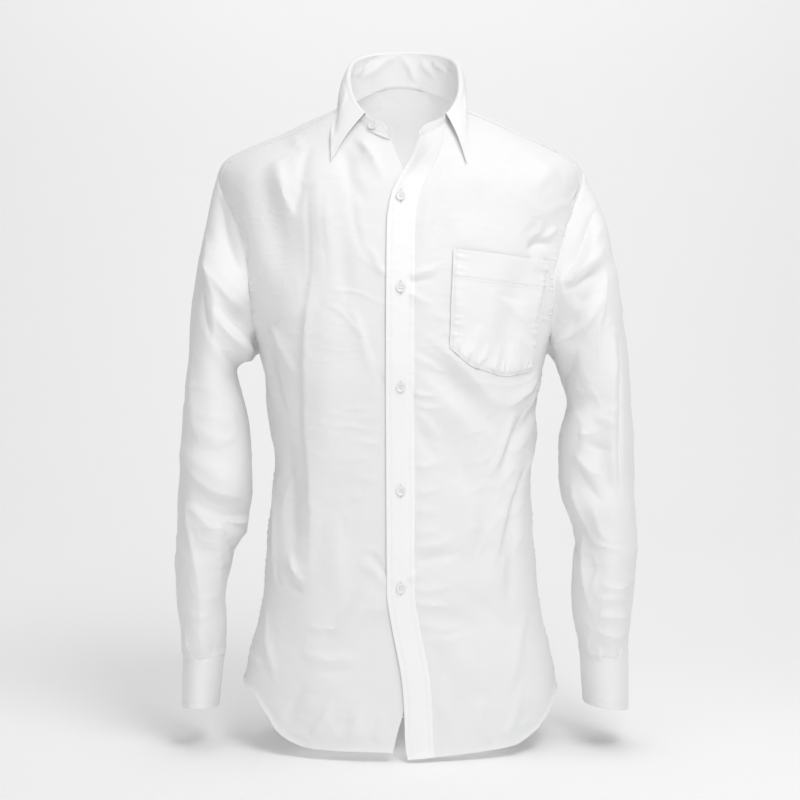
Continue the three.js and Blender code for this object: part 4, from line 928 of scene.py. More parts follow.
def add_stitches(name, lines, *cloths):
    """A row of stitches along each line, turned to the cloths that they are sewn in."""
    sewn = []
    for line in lines:
        points = resample(line, STITCH_PITCH)
        normals = nearest_normals(points, cloths)
        half = unit(np.gradient(points, axis=0)) * STITCH_LENGTH / 2
        seat = normals * STITCH_RADIUS * STITCH_SEAT
        sewn.append(thread(points - half + seat, points + half + seat, normals, STITCH_RADIUS))
    add_threads(name, sewn)


def sew_edges(name, cloth, *rows):
    """Rows of stitches on one piece, each given by its edge and how far in it lies."""
    add_stitches(f"stitches_{name}", [edge_line(cloth[0], *row) for row in rows], cloth)


# Each cloth piece's width and length laid flat and its area in square metres, how it is held, and
# what it hangs from or lies on.
FRONTS = ("front_left", "front_right")
CUTS = {
    "front_right": (0.265, 0.84, 0.17, "hung", ("yoke",)),
    "front_left": (0.26, 0.84, 0.169, "hung", ("yoke",)),
    "placket": (0.034, 0.74, 0.025, "laid", ("front_left",)),
    "back": (0.54, 0.69, 0.29, "hung", ("yoke",)),
    "yoke": (0.45, 0.19, 0.064, "draped", ()),
    "pocket": (0.132, 0.14, 0.0173, "laid", ("front_left",)),
    "collar_stand": (0.5, 0.045, 0.0165, "draped", ("yoke", *FRONTS)),
    "collar_leaf": (0.53, 0.075, 0.0228, "folded", ("collar_stand",)),
    "sleeve_right": (0.42, 0.6, 0.18, "hung", ("yoke", "back", "front_right")),
    "sleeve_left": (0.42, 0.6, 0.183, "hung", ("yoke", "back", "front_left")),
    "sleeve_placket_right": (0.022, 0.112, 0.0015, "laid", ("sleeve_right",)),
    "sleeve_placket_left": (0.022, 0.108, 0.0015, "laid", ("sleeve_left",)),
    "cuff_right": (0.25, 0.066, 0.0162, "hung", ("sleeve_right",)),
    "cuff_left": (0.265, 0.066, 0.0172, "hung", ("sleeve_left",)),
}


def dressed(piece, slot, *nodes):
    """Puts a piece on the body in place of its CAD nodes. Its slot, the kind of cloth, is not used.
    """
    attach(piece, "root")
    if nodes:
        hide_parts(*nodes)
    for node in nodes:
        node in CUTS


# Materials.


class Shader:
    """A material's node tree, with every node made in one place."""

    def __init__(self, name):
        self.material = bpy.data.materials.new(name)
        self.material.use_nodes = True
        self.tree = self.material.node_tree
        self.tree.nodes.clear()

    def node(self, kind, settings=None, sockets=None):
        """A node with its settings made first, then the values or links of its sockets."""
        made = self.tree.nodes.new(kind)
        for key, value in (settings or {}).items():
            setattr(made, key, value)
        for key, value in (sockets or {}).items():
            self.feed(made.inputs[key], value)
        return made

    def feed(self, socket, value):
        if isinstance(value, Value):
            value = value.socket
        if isinstance(value, bpy.types.NodeSocket):
            self.tree.links.new(value, socket)
        else:
            socket.default_value = value

    def math(self, operation, *values):
        made = self.node("ShaderNodeMath", {"operation": operation}, dict(enumerate(values)))
        return Value(self, made.outputs[0])

    def place(self, kind="Object"):
        """Where a point lies in the object's frame or, with UV, on the flat cloth in metres."""
        return self.node("ShaderNodeTexCoord").outputs[kind]

    def axis(self, place, name):
        apart = self.node("ShaderNodeSeparateXYZ", None, {"Vector": place})
        return Value(self, apart.outputs[name])

    def noise(self, place, scale, **more):
        made = self.node("ShaderNodeTexNoise", None, {"Vector": place, "Scale": scale, **more})
        return Value(self, made.outputs["Fac"])

    def stretched_noise(self, place, rates):
        stretch = self.node("ShaderNodeVectorMath", {"operation": "MULTIPLY"}, {0: place, 1: rates})
        return self.noise(stretch.outputs[0], 1.0, Detail=2.0)

    def blend(self, share, low, high):
        made = self.node("ShaderNodeMix", {"data_type": "RGBA"}, {0: share, 6: low, 7: high})
        return made.outputs[2]

    def rising(self, value, low, high):
        """0 up to the low value and 1 from the high one on, with a soft change between."""
        smooth = {"interpolation_type": "SMOOTHSTEP"}
        ends = {"Value": value, "From Min": low, "From Max": high}
        return Value(self, self.node("ShaderNodeMapRange", smooth, ends).outputs["Result"])

    def bump(self, height, strength, distance):
        sockets = {"Height": height, "Strength": strength, "Distance": distance}
        return self.node("ShaderNodeBump", None, sockets).outputs["Normal"]

    def finished(self, sockets):
        """The material, once its surface has what feeds it."""
        surface = self.node("ShaderNodeBsdfPrincipled", None, sockets)
        self.node("ShaderNodeOutputMaterial", None, {"Surface": surface.outputs[0]})
        return self.material


class Value:
    """A number that varies over a surface, with the sums that are done on it."""

    def __init__(self, shader, socket):
        self.shader = shader
        self.socket = socket

    def __add__(self, other):
        return self.shader.math("ADD", self, other)

    def __sub__(self, other):
        return self.shader.math("SUBTRACT", self, other)

    def __rsub__(self, other):
        return self.shader.math("SUBTRACT", other, self)

    def __mul__(self, other):
        return self.shader.math("MULTIPLY", self, other)

    __radd__ = __add__
    __rmul__ = __mul__


THREAD_PITCH = 0.00042  # metres between neighbouring threads of the weave
THREAD_RELIEF = 0.175  # heights of the threads, slubs and rumples in the cloth's bump
SLUB_RELIEF = 0.56
RUMPLE_RELIEF = 6
SLUB_RATES = ((50.0, 1100.0, 1.0), (1100.0, 50.0, 1.0))  # thick threads across and along
CLOTH_ROUGHNESS = 0.78
DARKER = 0.965  # the cloth's darkest tone as a share of its tint
# Painted shade at the placket's top: the darker tone its colour blends to, the height where that
# starts and how far it takes.
PLACKET_PAINTED_SHADE = (0.83, 0.83, 0.833, 1)
PLACKET_PAINTED_SHADE_STARTS = -0.12  # the height above which shade from the collar is painted into the placket's colour
PLACKET_PAINTED_SHADE_RISES = 0.05


def shirting_material(name, tint, crush=0.5, painted_shade_above=None):
    """Plain-weave cotton: fine threads, soft slubs and faint creasing in its bump."""
    shader = Shader(name)
    flat = shader.place("UV")
    place = shader.place()
    rate = math.pi / THREAD_PITCH
    warp = shader.math("SINE", shader.axis(flat, "X") * rate)
    weft = shader.math("SINE", shader.axis(flat, "Y") * rate)
    threads = warp * weft
    slubs = [shader.stretched_noise(flat, rates) for rates in SLUB_RATES]
    slub = slubs[0] + slubs[1]
    rumple = shader.noise(place, 95.0, Detail=4.0, Roughness=0.6, Distortion=0.4)
    cloud = shader.noise(place, 11.0, Detail=3.0)
    relief = threads * THREAD_RELIEF + slub * SLUB_RELIEF + rumple * (RUMPLE_RELIEF * crush)
    mixed = cloud * 0.5 + threads * 0.1 + slub * 0.25
    darker = (*(DARKER * channel for channel in tint), 1)
    colour = shader.blend(mixed, darker, (*tint, 1))
    # Above that height the colour is blended to a darker tone: painted shade.
    if painted_shade_above is not None:
        height = shader.axis(place, "Z")
        shade = shader.rising(height, painted_shade_above, painted_shade_above + PLACKET_PAINTED_SHADE_RISES)
        colour = shader.blend(shade, colour, PLACKET_PAINTED_SHADE)
    return shader.finished({
        "Base Color": colour,
        "Roughness": (rumple - 0.5) * 0.1 + CLOTH_ROUGHNESS,
        "Normal": shader.bump(relief, 0.32, 0.00022),
        "Sheen Weight": 0.18,
        "Sheen Roughness": 0.5,
        "Specular IOR Level": 0.3,
    })


def thread_material():
    """Twisted sewing cotton."""
    shader = Shader("sewing_cotton")
    twist = shader.noise(shader.place(), 2400.0)
    return shader.finished({
        "Base Color": shader.blend(twist, (0.80, 0.80, 0.81, 1), (0.90, 0.90, 0.90, 1)),
        "Roughness": 0.6,
        "Normal": shader.bump(twist, 0.5, 0.0001),
        "Sheen Weight": 0.2,
    })


def button_material():
    """Off-white moulded buttons with a faint pearly cloud."""
    shader = Shader("button_pearl")
    cloud = shader.noise(shader.place(), 260.0, Detail=3.0)
    return shader.finished({
        "Base Color": shader.blend(cloud, (0.80, 0.79, 0.77, 1), (0.90, 0.90, 0.885, 1)),
        "Roughness": cloud * 0.14 + 0.18,
        "Coat Weight": 0.35,
        "Coat Roughness": 0.12,
    })


def backdrop_material():
    """Matt studio paper, its floor in front made a little lighter by painted light."""
    shader = Shader("studio_paper")
    place = shader.place()
    grain = shader.noise(place, 1.4, Detail=1.0)
    wall = shader.blend(grain, (0.945, 0.945, 0.947, 1), (0.96, 0.96, 0.96, 1))
    # The floor in front is painted lighter than the wall: painted light.
    painted_light_in_front = 1 - shader.rising(shader.axis(place, "Y"), 0.05, 0.6)
    tone = shader.blend(painted_light_in_front, wall, (0.98, 0.98, 0.98, 1))
    return shader.finished({"Base Color": tone, "Roughness": 0.95})


SHIRTING = shirting_material("shirting_cotton", (0.868, 0.868, 0.87))
# The placket's tint is lighter than the shirting's, a painted highlight, and it is painted darker
# towards its top as shade.
PLACKET_PAINTED_LIGHT_AND_SHADE = shirting_material(
    "shirting_placket_painted_light_and_shade", (0.955, 0.955, 0.955), painted_shade_above=PLACKET_PAINTED_SHADE_STARTS
)
DOUBLE_SHIRTING = shirting_material("shirting_double", (0.89, 0.89, 0.892))
FUSED_SHIRTING = shirting_material("shirting_fused", (0.885, 0.885, 0.888), crush=0.3)
SEWING = thread_material()
BUTTON = button_material()


# What all the cloth has: seams, hems and unevenness.

LEVEL_STRETCH = np.array([0.36, 0.36, 1.0])  # makes creases run level
BODY_SEED = 300
FRONT_CREASING = 2.1
SLEEVE_CREASING = 1.7
HEM_WIDTH = 7.0
HEM_RISE = 0.8
HEM_STITCH = 5.5  # how far in from their edges the rows of stitches lie
EDGE_STITCH = 2
FUSED_STITCH = 6
ARMHOLE_STITCH = 8


def seam_puckers(grid, edge, seed, size, reach, height):
    """Ripples that run off a seam along one edge of a grid."""
    along = distances(grid, 0 if edge in ("left", "right") else 1)
    away = from_edge(grid, edge)
    lip = 0.2 + 0.8 * smoothstep(away, 0, 3)
    return height * lip * pucker(along, seed, size) * np.exp(-((away / reach) ** 1.3))


def rows_between(rows, low, high):
    return smoothstep(rows, low - 0.1, low + 0.1) * (1 - smoothstep(rows, high - 0.1, high + 0.1))


def hem_band(grid):
    """The turned-up hem: a thicker band with a flared edge and a groove at its stitches."""
    up = distances(grid, 0)
    band = HEM_RISE * (1 - smoothstep(up, HEM_WIDTH - 0.8, HEM_WIDTH + 0.8))
    return band + 1.3 * hump(up, 0, 2.4) - 0.8 * hump(up, HEM_WIDTH - 1.6, 1.3)


def cloth_noise(grid, seed):
    """Soft unevenness of the whole cloth with short faint creases in it."""
    level = grid * LEVEL_STRETCH
    height = waves(grid, seed, 62) + 0.5 * waves(grid, seed + 11, 27)
    height += crumple(grid, seed + 21, 26, 1.2) + crumple(level, seed + 31, 8, 0.3)
    height += crumple(grid, seed + 51, 13, 0.5)
    return height + crumple(level, seed + 41, 15, 0.8) * smoothstep(-grid[..., 2], 150, 330)


def tucked(away):
    """How far cloth goes down towards the edge that it tucks under."""
    return SEAM_STEP * (1 - smoothstep(away, 1.5, SEAM_LAP + 2.5))


# The body's pieces.

CENTRE_CALM = (16, 60)  # the cloth under the placket lies flatter
PLACKET_COLUMNS = 21


def front_columns(row, share, side, edge):
    """The angle of each column of a front at a row, the first ones being the placket's."""
    middle_z = plain_body(0, row)[..., 2]
    edge_x = curve(edge, np.clip(middle_z, edge["z"][0], edge["z"][-1]))["x"]
    under_placket = side * PLACKET_WIDTH * np.clip(share / PLACKET_SHARE, 0, 1)
    inside = angle_at_x(row, edge_x + under_placket)
    run_on = RUN_ON * smoothstep(row, YOKE_ROW, YOKE_ROW + 0.1)
    outside = side * (front_side_angle(row) + run_on)
    return mix(inside, outside, np.clip((share - PLACKET_SHARE) / (1 - PLACKET_SHARE), 0, 1))


def front_grid(side, edge):
    share = steps(FRONT_SPAN)[None, :]
    hem_angles = front_columns(np.full(share.shape, HEM_SEARCH_ROW), share, side, edge)
    low = mix(hem_row(hem_angles), ARMPIT_ROW, steps(BODY_LENGTH)[:, None])
    armhole = mix(ARMPIT_ROW, YOKE_ROW, steps(ARMHOLE_LENGTH, ARMHOLE_PITCH)[1:])
    shoulder = mix(YOKE_ROW, NECK_ROW, steps(SHOULDER_LENGTH)[1:])
    high = np.concatenate([armhole, shoulder])[:, None] + np.zeros_like(share)
    rows = np.vstack([low, high])
    angles = front_columns(rows, share, side, edge)
    on_top = side > 0
    lift = centre_lift(plain_body(angles, rows)[..., 0]) if on_top else 0
    return *body(angles, rows, lift), rows


def add_front(node, side, edge, creases, seed):
    grid, normals, rows = front_grid(side, edge)
    calm = 0.25 + 0.75 * smoothstep(np.abs(grid[..., 0]), *CENTRE_CALM)
    height = crease_heights(grid, creases, seed, grid[..., 1] < 0, FRONT_CREASING)
    height += calm * cloth_noise(grid, BODY_SEED)
    at_armhole = rows_between(rows, ARMPIT_ROW + 0.2, YOKE_ROW - 0.1)
    height += at_armhole * seam_puckers(grid, "right", seed + 1, 4.4, 9, 2.4)
    below = rows_between(rows, -1, ARMPIT_ROW - 0.2)
    height += below * seam_puckers(grid, "right", seed + 2, 7, 9, 2.6)
    height += seam_puckers(grid, "bottom", seed + 3, 12, 10, 0.9)
    height += hem_band(grid)
    at_yoke = smoothstep(rows, YOKE_ROW - 0.05, YOKE_ROW + 0.05)
    height -= 0.8 * tucked(from_edge(grid, "right")) * at_yoke
    return *cloth_piece(node, "panel", grid, normals, height, CLOTH, SHIRTING), rows


def add_placket(face, directions):
    """The strip on the left front's edge, with finer columns than the front's own."""
    columns = np.flatnonzero(np.linspace(0, 1, face.shape[1]) <= PLACKET_SHARE + 0.002)
    across = distances(face[:, columns], 1)
    share = across / across[:, -1:]
    finer = np.linspace(0, 1, PLACKET_COLUMNS)
    points, normals = (
        np.stack([interpolated(finer, at, line) for at, line in zip(share, values[:, columns])])
        for values in (face, directions)
    )
    normals = unit(normals)
    along = distances(points, 0)
    edge = np.minimum(finer, 1 - finer) * PLACKET_WIDTH
    ripples = np.where(finer > 0.5, 0.5 * pucker(along, 71, 11), 0.4 * pucker(along, 72, 13))
    height = PLACKET_LIFT + 0.25 * (1 - hump(edge, 0, 2.5)) - 0.4 * hump(edge, HEM_STITCH, 1.1)
    height = height + ripples * hump(edge, 3, 4) + 0.25 * waves(points, 73, 30)
    return cloth_piece("placket", "band", points, normals, height, CLOTH, PLACKET_PAINTED_LIGHT_AND_SHADE)


def back_grid():
    share = steps(BACK_SPAN, BACK_PITCH)[None, :]
    hem_angles = mix(90 - RUN_ON, 270 + RUN_ON, share)
    low = mix(hem_row(hem_angles), ARMPIT_ROW, steps(BODY_LENGTH, BACK_PITCH)[:, None])
    high = mix(ARMPIT_ROW, YOKE_ROW + RUN_ON_ROWS, steps(ARMHOLE_LENGTH, BACK_PITCH)[1:])
    rows = np.vstack([low, high[:, None] + np.zeros_like(share)])
    margin = BACK_DIP * armhole_dip(rows)
    margin -= RUN_ON * (1 - smoothstep(rows, ARMPIT_ROW - 0.3, ARMPIT_ROW))
    angles = mix(90 + margin, 270 - margin, share)
    return *body(angles, rows), rows


def add_back():
    grid, normals, rows = back_grid()
    height = crease_heights(grid, BACK_CREASES, 501, grid[..., 1] > 0, FRONT_CREASING)
    height += cloth_noise(grid, BODY_SEED)
    at_armhole = rows_between(rows, ARMPIT_ROW + 0.2, YOKE_ROW - 0.1)
    below = rows_between(rows, -1, ARMPIT_ROW - 0.2)
    for edge, seed in (("left", 503), ("right", 504)):
        height += at_armhole * seam_puckers(grid, edge, seed, 7, 8, 1.5)
        height += below * seam_puckers(grid, edge, seed + 4, 9, 9, 1.6)
    height += seam_puckers(grid, "bottom", 505, 12, 10, 0.9)
    height += hem_band(grid)
    below_armhole = 1 - smoothstep(rows, ARMPIT_ROW - 0.3, ARMPIT_ROW)
    height -= tucked(from_sides(grid)) * below_armhole
    height -= tucked(from_edge(grid, "top"))
    return *cloth_piece("back", "panel", grid, normals, height, CLOTH, SHIRTING), rows


def add_yoke():
    """The yoke, from its outer edge round both armholes and the back up to the neck."""
    front_rows = np.linspace(YOKE_ROW, SHOULDER_ROW, 12)
    back_rows = front_rows[::-1][1:]
    front = 90 - FRONT_DIP * armhole_dip(front_rows)
    back = 90 + BACK_DIP * armhole_dip(back_rows)
    rows = np.concatenate([front_rows, back_rows])
    angles = np.concatenate([front, back])
    across = np.linspace(angles[-1], 360 - angles[-1], 126)[1:-1]
    edge_rows = np.concatenate([rows, np.full(len(across), YOKE_ROW), rows[::-1]])
    edge_angles = np.concatenate([angles, across, 360 - angles[::-1]])
    share = steps(YOKE_SPAN, 3.0)[:, None]
    turn = (edge_angles - edge_angles[0]) / (180 - edge_angles[0])
    neck = mix(YOKE_FRONT_ANGLE, 180, turn)
    grid, normals = body(mix(edge_angles, neck, share), mix(edge_rows, NECK_ROW, share))
    height = cloth_noise(grid, BODY_SEED) + 0.1
    height += seam_puckers(grid, "bottom", 602, 6, 6, 1.6)
    height += seam_puckers(grid, "top", 603, 8, 8, 0.8)
    height += seam_puckers(grid, "left", 604, 10, 7, 0.6)
    height += seam_puckers(grid, "right", 605, 10, 7, 0.6)
    return cloth_piece("yoke", "panel", grid, normals, height, CLOTH, SHIRTING)


# Sleeves and cuffs.

ARMHOLE_POINTS = 176
ARMHOLE_TUCK = ((5.0, 0.6), (3.0, 0.3), (1.2, 0.1))  # how far under the body's cloth and down
SLEEVE_PITCH = 3.0


def ring_points(ring, turn, fullness=1.0):
    """Points of a ring. A fullness below 1 makes its front and back flatter."""
    share = (1 + np.cos(turn)) / 2
    sine = np.sin(turn)
    x = mix(ring["in_x"], ring["out_x"], share)
    z = mix(ring["in_z"], ring["out_z"], share) + ring.get("tilt", 0) * sine
    y = ring["y"] - ring["half"] * np.sign(sine) * np.abs(sine) ** fullness
    return np.stack(np.broadcast_arrays(x, y, z), axis=-1)


def armhole_loop(side):
    """Points round the armhole from the shoulder's tip over the front to the armpit and up."""
    down = np.linspace(SHOULDER_ROW, ARMPIT_ROW, 400)
    loops, outs, turns = [], [], []
    for half, dip, rows in ((0, -FRONT_DIP, down), (1, BACK_DIP, down[::-1])):
        part, out = body(side * (90 + dip * armhole_dip(rows)), rows)
        walked = distances(part, 0)
        at = np.linspace(0, 1, ARMHOLE_POINTS // 2, endpoint=False) * walked[-1]
        loops.append(interpolated(at, walked, part))
        outs.append(interpolated(at, walked, out))
        turns.append(math.pi * (half + at / walked[-1]))
    return np.vstack(loops), unit(np.vstack(outs)), np.concatenate(turns)


def armhole_tuck(loop, outs):
    """Rings that run on from the armhole's edge under the body's cloth."""
    ahead = np.roll(loop, -2, axis=0) - np.roll(loop, 2, axis=0)
    aside = unit(np.cross(outs, ahead))
    aside *= np.sign(((loop - loop.mean(axis=0)) * aside).sum(axis=-1, keepdims=True))
    return np.stack([loop + aside * reach - outs * (CLOTH + drop) for reach, drop in ARMHOLE_TUCK])


def sleeve_grid(rings, side):
    loop, outs, turns = armhole_loop(side)
    first = {name: values[0] for name, values in rings.items()}
    offsets = loop - ring_points(first, turns)
    ring = mix(0, LAST_RING, steps(SLEEVE_LENGTH, SLEEVE_PITCH))[:, None]
    row = curve(rings, ring)
    keep = (1 - smoothstep(ring, 0, ARMHOLE_FADE)) ** 1.5
    fullness = 1 - 0.24 * smoothstep(ring, 0.5, 3) * (1 - smoothstep(ring, 10, 13))
    points = ring_points(row, turns[None, :], fullness) + offsets[None] * keep[..., None]
    out = np.stack([np.cos(turns) * side, -np.sin(turns), 0 * turns], axis=-1)[None]
    start = smoothstep(ring, 0, 2)
    height = start * fold_height(SLEEVE_FOLDS, points, points[..., 1] - row["y"])
    height -= 0.3 * SEAM_STEP * (1 - smoothstep(ring, 0, 0.1))
    points = points + out * height[..., None]
    inside = mix(points[-1], points[-1].mean(axis=0), 0.06)
    tail = [inside - UP * CUFF_TUCK * share for share in (0, 0.5, 1)]
    points[-1, :, 2] += 0.8
    points = np.concatenate([armhole_tuck(loop, outs), points, np.stack(tail)])
    return points, out + np.zeros_like(points)


def echoed(creases, seed):
    """Creases like these for the hidden side: shifted, and a little longer or shorter."""
    rng = np.random.default_rng(seed)
    count = len(creases["x1"])
    copy = {name: values.copy() for name, values in creases.items()}
    shift = rng.uniform(-16, 16, count)
    for name in ("z1", "z2"):
        copy[name] += shift
    copy["bow"] = -copy["bow"] * rng.uniform(0.6, 1.6, count)
    copy["height"] *= rng.uniform(0.6, 1.15, count)
    copy["z2"] += rng.uniform(-12, 12, count)
    return copy


def cuff_share(count):
    """How far round the cuff each of a sleeve's columns lies, from 0 to 1."""
    turns = np.arange(count) * 360 / count
    return ((turns - CUFF_START) % 360) / (360 + CUFF_OVERLAP)


def add_sleeve(node, side, rings, creases, seed):
    grid, out = sleeve_grid(rings, side)
    normals = grid_normals(grid, out, around=True)
    painted_light_in_front = grid[..., 1] < grid.mean(axis=1, keepdims=True)[..., 1]
    height = crease_heights(grid, creases, seed, painted_light_in_front, SLEEVE_CREASING)
    behind = echoed(creases, seed)
    height += crease_heights(grid, behind, seed + 1, ~painted_light_in_front, 0.8 * SLEEVE_CREASING)
    height += cloth_noise(grid, seed + 2)
    closed = np.concatenate([grid, grid[:, :1]], axis=1)
    around = distances(closed, 1)[:, :-1]
    below = from_edge(grid, "bottom")
    above_cuff = from_edge(grid, "top") - CUFF_TUCK
    height += 1.5 * pucker(around, seed + 3, 8) * np.exp(-((below / 12) ** 1.3))
    height += 2.2 * pucker(around, seed + 4, 10) * np.exp(-((np.abs(above_cuff) / 16) ** 1.3))
    height *= smoothstep(below, 4, 9) * smoothstep(above_cuff, -0.5, 4)
    over_cuff = 0.4 + CUFF_LAP_LIFT * cuff_share(grid.shape[1])
    height += np.where(above_cuff > -1, over_cuff * hump(above_cuff, 0, 7), 0)
    return cloth_piece(node, "cloth", grid, normals, height, CLOTH, SHIRTING, around=True)


def add_cuff(node, rings, cuff, seed):
    share = steps(CUFF_DEPTH, CUFF_PITCH)[:, None]
    around = steps(CUFF_ROUND, 2.4)[None, :]
    last = {name: values[-1] for name, values in rings.items()}
    last["tilt"] = 0
    ring = {name: mix(last[name], value, share) for name, value in cuff.items()}
    turn = np.radians(CUFF_START + around * (360 + CUFF_OVERLAP))
    points = ring_points(ring, turn)
    ahead = ring_points(ring, turn + 0.02) - ring_points(ring, turn - 0.02)
    out = np.stack([ahead[..., 1], -ahead[..., 0], 0 * ahead[..., 0]], axis=-1)
    opposite = points - ring_points(ring, turn + math.pi)
    out = unit(out * np.sign((out * opposite).sum(axis=-1, keepdims=True)))
    grid = points + out * (CUFF_LAP_LIFT * around)[..., None]
    edge = np.minimum(from_ends(grid), from_sides(grid))
    height = 0.35 * waves(grid, seed, 40) + 0.3 * (1 - hump(edge, 0, 2.5))
    height -= 0.4 * hump(edge, FUSED_STITCH, 1.1)
    height += 0.45 * pucker(distances(grid, 1), seed + 1, 12) * hump(from_ends(grid), 3, 4)
    return cloth_piece(node, "band", grid, out, height, FUSED, FUSED_SHIRTING)


def add_sleeve_placket(node, face, directions):
    """A narrow double strip on the sleeve's opening, pointed at its top."""
    turns = np.linspace(0, 360, face.shape[1], endpoint=False)
    low, high = (angle % 360 for angle in OPENING_TURNS)
    columns = np.flatnonzero((turns >= low) & (turns <= high))
    rings = np.linspace(0, LAST_RING, face.shape[0])
    rows = np.flatnonzero((rings >= OPENING_RINGS[0]) & (rings <= OPENING_RINGS[1]))
    strip = face[np.ix_(rows, columns)]
    across = np.linspace(-1, 1, len(columns))[None, :]
    at_top = 1 - smoothstep(np.arange(len(rows)), 0, 4)[:, None]
    strip = strip + UP * (9.0 * (1 - np.abs(across)) * at_top)[..., None]
    height = 1.1 + 0.2 * (1 - hump(from_sides(strip), 0, 2))
    out = directions[np.ix_(rows, columns)]
    return cloth_piece(node, "strip", strip, out, height, CLOTH, SHIRTING)


# Collar.

STAND_CORNER = 13  # radius of the stand's rounded front corners
FALL_ROWS = 34


def stand_top(around):
    at = curve(STAND_TOP, around)
    return np.stack([at["x"], at["y"], at["z"]], axis=-1)


def stand_normal(around):
    along = stand_top(around + 0.5) - stand_top(around - 0.5)
    return unit(np.stack([-along[..., 1], along[..., 0], 0 * along[..., 0]], axis=-1))


def stand_bottom(around):
    angle = 180 - around
    lift = centre_lift(plain_body(angle, NECK_ROW)[..., 0])
    return body(angle, NECK_ROW, lift)[0]


def stand_reach():
    """The angles round the neck at which the two fronts' edges meet the stand."""
    neck_z = plain_body(0, NECK_ROW)[..., 2]
    left, right = (
        angle_at_x(NECK_ROW, curve(edge, min(neck_z, edge["z"][-1]))["x"])
        for edge in (LEFT_EDGE, RIGHT_EDGE)
    )
    return -180 - right, 180 - left


def add_stand():
    around = np.linspace(*stand_reach(), 230)[None, :]
    top = stand_top(around)
    missing = np.clip(STAND_CORNER - from_sides(top), 0, STAND_CORNER)
    drop = STAND_CORNER - np.sqrt(STAND_CORNER**2 - missing**2)
    top = top - UP * drop[..., None] * 0.8
    grid = mix(stand_bottom(around), top, np.linspace(0, 1, 24)[:, None, None])
    normals = stand_normal(around) + np.zeros_like(grid)
    up = distances(grid, 0)
    height = 0.35 * waves(grid, 701, 20)
    height += crease_heights(grid, STAND_CREASES, 705, grid[..., 1] > 0, 2.2)
    height += 0.5 * pucker(distances(grid, 1), 702, 9) * np.exp(-((up / 5) ** 1.5))
    height -= 0.35 * hump(up, 4, 1.1)
    # The stand takes the plain shirting, a little darker than the fused cloth of the leaf: painted
    # shade under the leaf.
    return cloth_piece("collar_stand", "band", grid, normals, height, FUSED, SHIRTING)


def clear_of_body(points, wanted):
    """Moves points of the leaf out until its wall clears the shoulders."""
    angles = np.arange(-180, 180, 3.0)[:, None]
    rows = np.arange(8.4, NECK_ROW + 0.05, 0.1)[None, :]
    skin, normals = body(angles, rows, FRONT_LIFT / 3)
    skin, normals = skin.reshape(-1, 3), normals.reshape(-1, 3)
    cleared = []
    for part in points:
        nearest_skin = ((skin[None] - part[:, None]) ** 2).sum(axis=-1).argmin(axis=1)
        out = normals[nearest_skin]
        height = ((part - skin[nearest_skin]) * out).sum(axis=1)
        cleared.append(part + out * np.maximum(wanted - height, 0)[:, None])
    return np.stack(cleared)


def add_leaf():
    """The leaf, rolled over the stand's top edge and falling to its free edge."""
    around = np.linspace(LEAF_EDGE["around"][0], LEAF_EDGE["around"][-1], 210)
    out = stand_normal(around)
    centre = stand_top(around) + out * LEAF_ROLL + UP * 0.4
    turns = np.radians(np.linspace(0, 150, 7))
    rolled_out = np.stack([UP * math.sin(turn) - out * math.cos(turn) for turn in turns])
    roll = centre + rolled_out * (LEAF_ROLL + FUSED)
    free_edge = curve(LEAF_EDGE, around)
    rim = np.stack([free_edge["x"], free_edge["y"], free_edge["z"]], axis=-1)
    sideways = np.stack([-out[:, 1], out[:, 0], 0 * out[:, 0]], axis=-1)
    facing = unit(np.cross(rim - roll[-1], sideways))
    share = np.linspace(0, 1, FALL_ROWS)[1:, None, None]
    fall = mix(roll[-1], rim, share) + facing * LEAF_BULGE * np.sin(math.pi * share)
    fall = clear_of_body(fall, FUSED + LEAF_CLEARANCE)
    grid = np.concatenate([roll, fall])
    normals = grid_normals(grid, np.concatenate([rolled_out, facing + np.zeros_like(fall)]))
    down = distances(grid, 0)
    to_rim = from_edge(grid, "top")
    edge = np.minimum(to_rim, from_sides(grid))
    creases = crease_heights(grid, LEAF_CREASES, 805, grid[..., 1] < 60, 2.4)
    height = 0.3 * waves(grid, 801, 34) * smoothstep(down, 4, 14)
    height += creases * smoothstep(down, 6, 14)
    height += 0.3 * (1 - hump(edge, 0, 2.5)) - 0.4 * hump(edge, FUSED_STITCH, 1.1)
    height += 0.3 * pucker(distances(grid, 1), 802, 10) * hump(to_rim, 3, 4)
    return cloth_piece("collar_leaf", "fall", grid, normals, height, FUSED, FUSED_SHIRTING)


# Pocket.

POCKET_HEM = 33
POCKET_HEM_STITCH = 31


def laid_on(face, directions, x, z):
    """Points of a face that looks forwards at x and z, with their directions."""
    shown = face[..., 1] < 0
    flat, out = face[shown], directions[shown]
    points = np.empty((*x.shape, 3))
    normals = np.empty_like(points)
    for i, places in enumerate(np.stack([x, z], axis=-1)):
        near, weight = nearest_weights(flat, places, 8, 2)
        points[i] = (flat[near] * weight).sum(axis=1)
        normals[i] = (out[near] * weight).sum(axis=1)
    points[..., 0] = x
    points[..., 2] = z
    return points, unit(normals)


def pocket_ripples(away, middle, reach):
    """Where the ripples stand beside the pocket's seams: a soft hump that ends at the edge."""
    return hump(away, middle, reach) * smoothstep(away, 0.5, middle)


